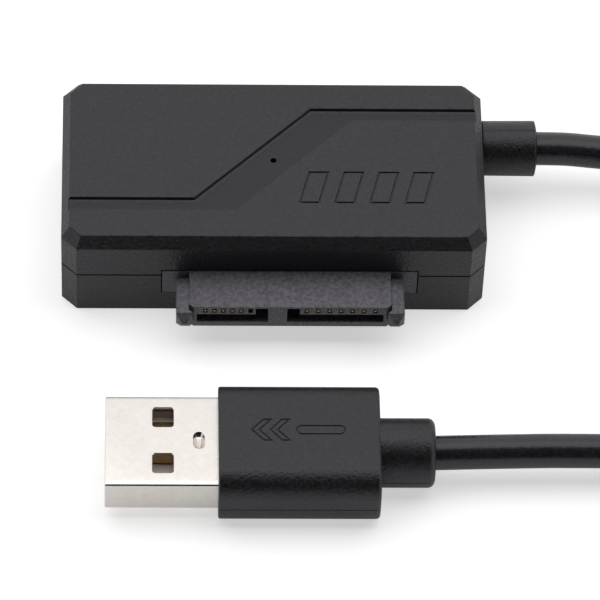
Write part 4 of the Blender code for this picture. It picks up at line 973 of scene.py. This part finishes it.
def make_plug_shell():
    end = PLUG_NOSE_X + SHELL_EXPOSED + SHELL_EMBEDDED
    body = loft(end_rings(shell_section, PLUG_NOSE_X, end, SHELL_ROUNDING, SHELL_ROUNDING, 3))
    shell = mesh_object("plug_shell_look", body, NICKEL)
    inside = [(PLUG_Y + y, PLUG_AXIS_Z + z) for y, z in
              rounded_rectangle(SHELL_WIDTH - 2 * SHELL_SHEET, SHELL_HEIGHT - 2 * SHELL_SHEET, SHELL_SHEET)]
    cut(shell, prism(inside, PLUG_NOSE_X - OVERRUN, end + OVERRUN, "X"))
    top = PLUG_AXIS_Z + SHELL_HEIGHT / 2
    bottom = PLUG_AXIS_Z - SHELL_HEIGHT / 2
    for side in (-1, 1):
        centre = (PLUG_NOSE_X + WINDOW_SETBACK + WINDOW_LENGTH / 2, PLUG_Y + side * WINDOW_SPREAD)
        window = rounded_rectangle(WINDOW_LENGTH, WINDOW_WIDTH, WINDOW_CORNER, centre)
        cut(shell, flared(window, top - 2 * SHELL_SHEET, top, WINDOW_FLARE),
            prism(window, bottom - OVERRUN, bottom + 2 * SHELL_SHEET))
    dimple_x = PLUG_NOSE_X + DIMPLE_SETBACK
    dimple = rounded_rectangle(DIMPLE_LENGTH, DIMPLE_WIDTH, DIMPLE_CORNER, (dimple_x, PLUG_Y), 8)
    half_x, half_y = DIMPLE_LENGTH / 2 + SHELL_SHEET, DIMPLE_WIDTH / 2 + SHELL_SHEET
    back = box((dimple_x - half_x, PLUG_Y - half_y, top - DIMPLE_BACK_DEPTH),
               (dimple_x + half_x, PLUG_Y + half_y, top - SHELL_SHEET / 2))
    join(shell, ease(back, DIMPLE_BACK_EASE, 2))
    cut(shell, stacked((grown(dimple, out), top + rise) for out, rise in DIMPLE_LEVELS))
    for side in (-1, 1):
        foot = [(dimple_x + side * x, PLUG_Y + y) for x, y in RIDGE_FOOT[::side]]
        crest = grown(foot, -RIDGE_TAPER)
        join(shell, stacked(((foot, top - RIDGE_FOOT_DEPTH), (crest, top - RIDGE_CREST_DEPTH))))
    return fitted(smooth(shell), "nickel_plating", "plug_shell")


def mark_cutters(top):
    """A plain arrow-like mark of outlined chevrons and a bar on the grip."""
    middle = PLUG_Y + MARK_SHIFT
    outlines = [[(GRIP_START + setback + x, middle + y) for x, y in CHEVRON] for setback in CHEVRON_SETBACKS]
    outlines.append(rounded_rectangle(BAR_LENGTH, BAR_WIDTH, BAR_CORNER, (GRIP_START + BAR_SETBACK, middle)))
    return [line_cutter(outline, top, MARK_LINE_WIDTH, MARK_LINE_DEPTH) for outline in outlines]


def make_plug_grip():
    body = loft(end_rings(grip_section, GRIP_START, GRIP_END, GRIP_FRONT_ROUNDING, GRIP_REAR_ROUNDING))
    grip = mesh_object("plug_grip_look", body, GRIP_PLASTIC)
    radius = BOOT_DIAMETER / 2
    rounding = arc((BOOT_END - BOOT_ROUNDING, radius - BOOT_ROUNDING), BOOT_ROUNDING, 90, 0, 7)
    boot = [(0.0, GRIP_END - BOOT_OVERLAP), (radius, GRIP_END - BOOT_OVERLAP)]
    boot += [(r, x) for x, r in rounding] + [(0.0, BOOT_END)]
    join(grip, turned(boot, (0.0, PLUG_Y, PLUG_AXIS_Z)))
    pocket = [(PLUG_Y + y, PLUG_AXIS_Z + z) for y, z in
              rounded_rectangle(SHELL_WIDTH + POCKET_GAP, SHELL_HEIGHT + POCKET_GAP, POCKET_CORNER)]
    cut(grip, prism(pocket, GRIP_START - OVERRUN, GRIP_START + SHELL_EMBEDDED + FIT_GAP, "X"))
    line, low = MOULD_LINE_HALF, PLUG_AXIS_Z - MOULD_LINE_DROP
    boot_surface = math.sqrt(radius**2 - MOULD_LINE_DROP**2)
    runs = ((GRIP_WIDTH / 2, GRIP_WIDTH / 2, GRIP_START - OVERRUN, GRIP_END - GRIP_LINE_STOP),
            (boot_surface, radius, GRIP_END + BOOT_LINE_START, BOOT_END + OVERRUN))
    for side in (-1, 1):
        for skin, reach, start, end in runs:
            near, far = sorted((PLUG_Y + side * (skin - MOULD_LINE_DEPTH), PLUG_Y + side * (reach + OVERRUN)))
            cut(grip, box((start, near, low - line), (end, far, low + line)))
    cut(grip, *mark_cutters(GRIP_HEIGHT))
    return fitted(smooth(grip, 30), "grip_plastic", "plug_grip")


# Cable
def coil_point(turns):
    """The cord's centre in the coil, from 0 turns at its back, on top, to its front, on the table."""
    half = CABLE_DIAMETER / 2 + TABLE_GAP
    if turns >= 1:
        radius, height = COIL_RADIUS + TURN_PITCH * (turns - 1), half
    else:
        for (t0, r0), (t1, r1) in zip(UPPER_TURN, UPPER_TURN[1:]):
            if t0 <= turns <= t1:
                share = (turns - t0) / (t1 - t0)
                radius = r0 + (r1 - r0) * share * share * (3 - 2 * share)
        apart = COIL_RADIUS + TURN_PITCH * turns - radius
        height = half + math.sqrt(max(0.0, TURNS_APART**2 - apart**2))
    angle = math.radians(90 - 360 * turns)
    from_tie = math.degrees(math.atan2(math.sin(angle), math.cos(angle)))
    height += TIE_LIFT * math.exp(-((from_tie / TIE_LIFT_DEGREES) ** 2))
    return (COIL_X + radius * math.cos(angle), COIL_Y + radius * math.sin(angle), height)


# The cable's points from the strain relief to the coil, and from the coil to the boot
HOUSING_LEAD = [
    (RELIEF_END - CABLE_SEAT, 0.0066, 0.00610), (0.0316, 0.00660, 0.00608), (0.0335, 0.00658, 0.00602),
    (0.0367, 0.00645, 0.00575), (0.0400, 0.0063, 0.00555), (0.0436, 0.0062, 0.00555),
    (0.0475, 0.0062, 0.00575), (0.0520, 0.0063, 0.00580), (0.0575, 0.0064, 0.00575),
]
PLUG_LEAD = [
    (0.0575, -0.03458, 0.00197), (0.0530, -0.0346, 0.00197), (0.0493, -0.0346, 0.00199),
    (0.0465, -0.0345, 0.00215), (0.0430, -0.0344, 0.00290), (0.0380, -0.0343, 0.00380),
    (0.0320, -0.0343, 0.00402), (0.0250, -0.0344, 0.00400), (BOOT_END - CABLE_SEAT, -0.0346, 0.00395),
]


def length_along(points):
    return sum((Vector(b) - Vector(a)).length for a, b in zip(points, points[1:]))


def make_cable():
    knots = range(round(COIL_TURNS * KNOTS_PER_TURN) + 1)
    points = HOUSING_LEAD + [coil_point(i / KNOTS_PER_TURN) for i in knots] + PLUG_LEAD
    curve = bpy.data.curves.new("cable_look", "CURVE")
    curve.dimensions = "3D"
    curve.bevel_depth = CABLE_DIAMETER / 2
    curve.bevel_resolution = 8
    curve.resolution_u = 6
    curve.use_fill_caps = True
    spline = curve.splines.new("BEZIER")
    spline.bezier_points.add(len(points) - 1)
    for knot, point in zip(spline.bezier_points, points):
        knot.co = point
        knot.handle_left_type = knot.handle_right_type = "AUTO"
    curve.materials.append(CABLE_SHEATH)
    cable = bpy.data.objects.new("cable_look", curve)
    bpy.context.scene.collection.objects.link(cable)
    fitted(cable, "cable_sheath", "cable_housing_lead", "cable_coil", "cable_plug_lead")
    return cable, length_along(points)


def half_hull(ordered):
    """One side of the line round some points, which come in order."""
    hull = []
    for p in ordered:
        while len(hull) > 1 and (hull[-1] - hull[-2]).cross(p - hull[-2]) <= 1e-12:
            hull.pop()
        hull.append(p)
    return hull[:-1]


def hull_of_turns(grow, steps=40):
    """The line round the three turns where the tie holds them, as x and z."""
    radius = CABLE_DIAMETER / 2 + grow
    points = []
    for turns in (0.25, 1.25, 2.25):
        x, _, z = coil_point(turns)
        angles = [2 * math.pi * i / steps for i in range(steps)]
        points += [Vector((x, z)) + radius * Vector((math.cos(a), math.sin(a))) for a in angles]
    points.sort(key=lambda p: (p.x, p.y))
    return [tuple(p) for p in half_hull(points) + half_hull(points[::-1])]


def twisted_end(root_x, start):
    """One of the tie's ends, wound round the other. It starts at root_x and at an angle."""
    rings = []
    for i in range(TWIST_STEPS + 1):
        share = i / TWIST_STEPS
        angle = start + share * TWIST_HALF_TURNS * math.pi
        swing = TWIST_SWING * min(1.0, share * TWIST_SWING_RATE)
        centre = Vector((root_x - share * TWIST_LENGTH, COIL_Y + swing * math.cos(angle),
                         TWIST_HEIGHT - TWIST_DROP * share + swing * math.sin(angle)))
        across = Vector((0.0, -math.sin(angle), math.cos(angle)))
        out = Vector((0.0, math.cos(angle), math.sin(angle)))
        half = TWIST_HALF_WIDTH - TWIST_NARROWING * min(1.0, share * TWIST_NARROWING_RATE)
        rings.append([tuple(centre + across * (a * half) + out * (b * TWIST_HALF_SHEET))
                      for a, b in TWIST_SECTION])
    return loft(rings)


def make_tie():
    """A flat twist tie round the turns, with its ends twisted together inside the coil."""
    front, back = COIL_Y - TIE_HALF_WIDTH, COIL_Y + TIE_HALF_WIDTH
    band = mesh_object("cable_tie_look", prism(hull_of_turns(TIE_GAP + TIE_SHEET), front, back, "Y"),
                       TIE_SLEEVE)
    cut(band, prism(hull_of_turns(TIE_GAP), front - OVERRUN, back + OVERRUN, "Y"))
    root_x = min(x for x, _ in hull_of_turns(TIE_GAP + TIE_SHEET / 2)) + TWIST_ROOT
    for start in (0.0, math.pi):
        join(band, twisted_end(root_x, start))
    return fitted(smooth(band), "tie_sleeve", "cable_tie")


# Stage, light and camera
def background_share(tree, direct, reflected):
    """How much white the background adds for rays from the camera or through glass, and for reflections."""
    rays = tree.nodes.new("ShaderNodeLightPath")
    total = None
    levels = {"Is Camera Ray": direct, "Is Transmission Ray": direct, "Is Glossy Ray": reflected}
    for kind, level in levels.items():
        share = tree.nodes.new("ShaderNodeMath")
        share.operation = "MULTIPLY_ADD"
        tree.links.new(rays.outputs[kind], share.inputs[0])
        share.inputs[1].default_value = level
        if total:
            tree.links.new(total, share.inputs[2])
        else:
            share.inputs[2].default_value = 0.0
        total = share.outputs["Value"]
    return total


def matt_surface(name, grey):
    made, tree, shader = shader_of(name)
    shader.inputs["Base Color"].default_value = (grey, grey, grey, 1.0)
    shader.inputs["Roughness"].default_value = MATT
    shader.inputs["Specular IOR Level"].default_value = 0.0
    return made, tree, shader


def make_floor():
    """A white table that takes the object's shadow and is white in the picture."""
    made, tree, shader = matt_surface("floor_white", FLOOR_GREY)
    shader.inputs["Emission Color"].default_value = WHITE
    lift = background_share(tree, FLOOR_LIFT, FLOOR_LIFT_REFLECTED)
    tree.links.new(lift, shader.inputs["Emission Strength"])
    slab = box((-FLOOR_HALF, -FLOOR_HALF, -FLOOR_DEPTH), (FLOOR_HALF, FLOOR_HALF, 0.0))
    mesh_object("floor", slab, made)


def make_world():
    """White behind the object, and a dim room around it."""
    world = bpy.data.worlds.new("room")
    bpy.context.scene.world = world
    world.use_nodes = True
    tree = world.node_tree
    tree.nodes.clear()
    white = tree.nodes.new("ShaderNodeBackground")
    white.inputs["Color"].default_value = WHITE
    dim = tree.nodes.new("ShaderNodeBackground")
    dim.inputs["Color"].default_value = WHITE
    dim.inputs["Strength"].default_value = ROOM_LEVEL
    mix = tree.nodes.new("ShaderNodeMixShader")
    output = tree.nodes.new("ShaderNodeOutputWorld")
    tree.links.new(background_share(tree, 1.0, 1.0), mix.inputs["Fac"])
    tree.links.new(dim.outputs["Background"], mix.inputs[1])
    tree.links.new(white.outputs["Background"], mix.inputs[2])
    tree.links.new(mix.outputs["Shader"], output.inputs["Surface"])


def aimed(obj, place, target):
    obj.location = place
    obj.rotation_euler = (Vector(target) - Vector(place)).to_track_quat("-Z", "Y").to_euler()
    return obj


def softbox(name, place, target, size, level):
    """A rectangular lamp whose face has the given brightness, where 1 is white."""
    light = bpy.data.lights.new(name, "AREA")
    light.shape = "RECTANGLE"
    light.size, light.size_y = size
    light.energy = level * math.pi * size[0] * size[1]
    lamp = bpy.data.objects.new(name, light)
    bpy.context.scene.collection.objects.link(lamp)
    return aimed(lamp, place, target)


def black_sheet(name, place, target, size):
    """A matt black sheet of the studio, which no camera sees."""
    half_x, half_y = size[0] / 2, size[1] / 2
    made, _, _ = matt_surface(name, SHEET_GREY)
    sheet = mesh_object(name, box((-half_x, -half_y, 0.0), (half_x, half_y, SHEET_THICKNESS)), made)
    sheet.visible_camera = False
    aimed(sheet, place, target)


def make_light():
    """A softbox behind and a brighter one right above, their black backs and the room's dark front."""
    for name, near, far, level in SOFTBOXES:
        middle = (near + far) / 2
        softbox(name, (0.0, middle, LAMP_HEIGHT), (0.0, middle, 0.0), (LAMP_WIDTH, far - near), level)
    for name, place, target, size in BLACK_SHEETS:
        black_sheet(name, place, target, size)


def make_camera():
    """The photograph's camera, in the housing's own frame."""
    elevation, yaw, roll = (math.radians(a) for a in (CAMERA_ELEVATION, CAMERA_YAW, CAMERA_ROLL))
    right = Vector((1.0, 0.0, 0.0))
    forward = Vector((0.0, math.cos(elevation), -math.sin(elevation)))
    up = right.cross(forward)
    camera_right = math.cos(roll) * right + math.sin(roll) * up
    camera_up = -math.sin(roll) * right + math.cos(roll) * up
    place = CAMERA_ACROSS * camera_right + CAMERA_ALONG * camera_up - CAMERA_DISTANCE * forward
    axes = Matrix((camera_right, camera_up, -forward)).transposed().to_4x4()
    camera = bpy.data.cameras.new("camera")
    camera.sensor_width = SENSOR_WIDTH
    camera.lens = FOCAL_PIXELS / PICTURE_PIXELS * SENSOR_WIDTH
    camera.clip_start, camera.clip_end = CLIP_START, CLIP_END
    obj = bpy.data.objects.new("camera", camera)
    bpy.context.scene.collection.objects.link(obj)
    obj.matrix_world = Matrix.Rotation(-yaw, 4, "Z") @ Matrix.Translation(place) @ axes
    bpy.context.scene.camera = obj


bpy.context.scene.view_settings.view_transform = "Standard"
make_floor()
make_world()
make_light()
make_camera()
dress_nodes()
make_upper_shell()
make_lower_shell()
make_receptacle()
make_contacts()
make_strain_relief()
plug_shell = make_plug_shell()
plug_grip = make_plug_grip()
cable, cable_length = make_cable()
tie = make_tie()
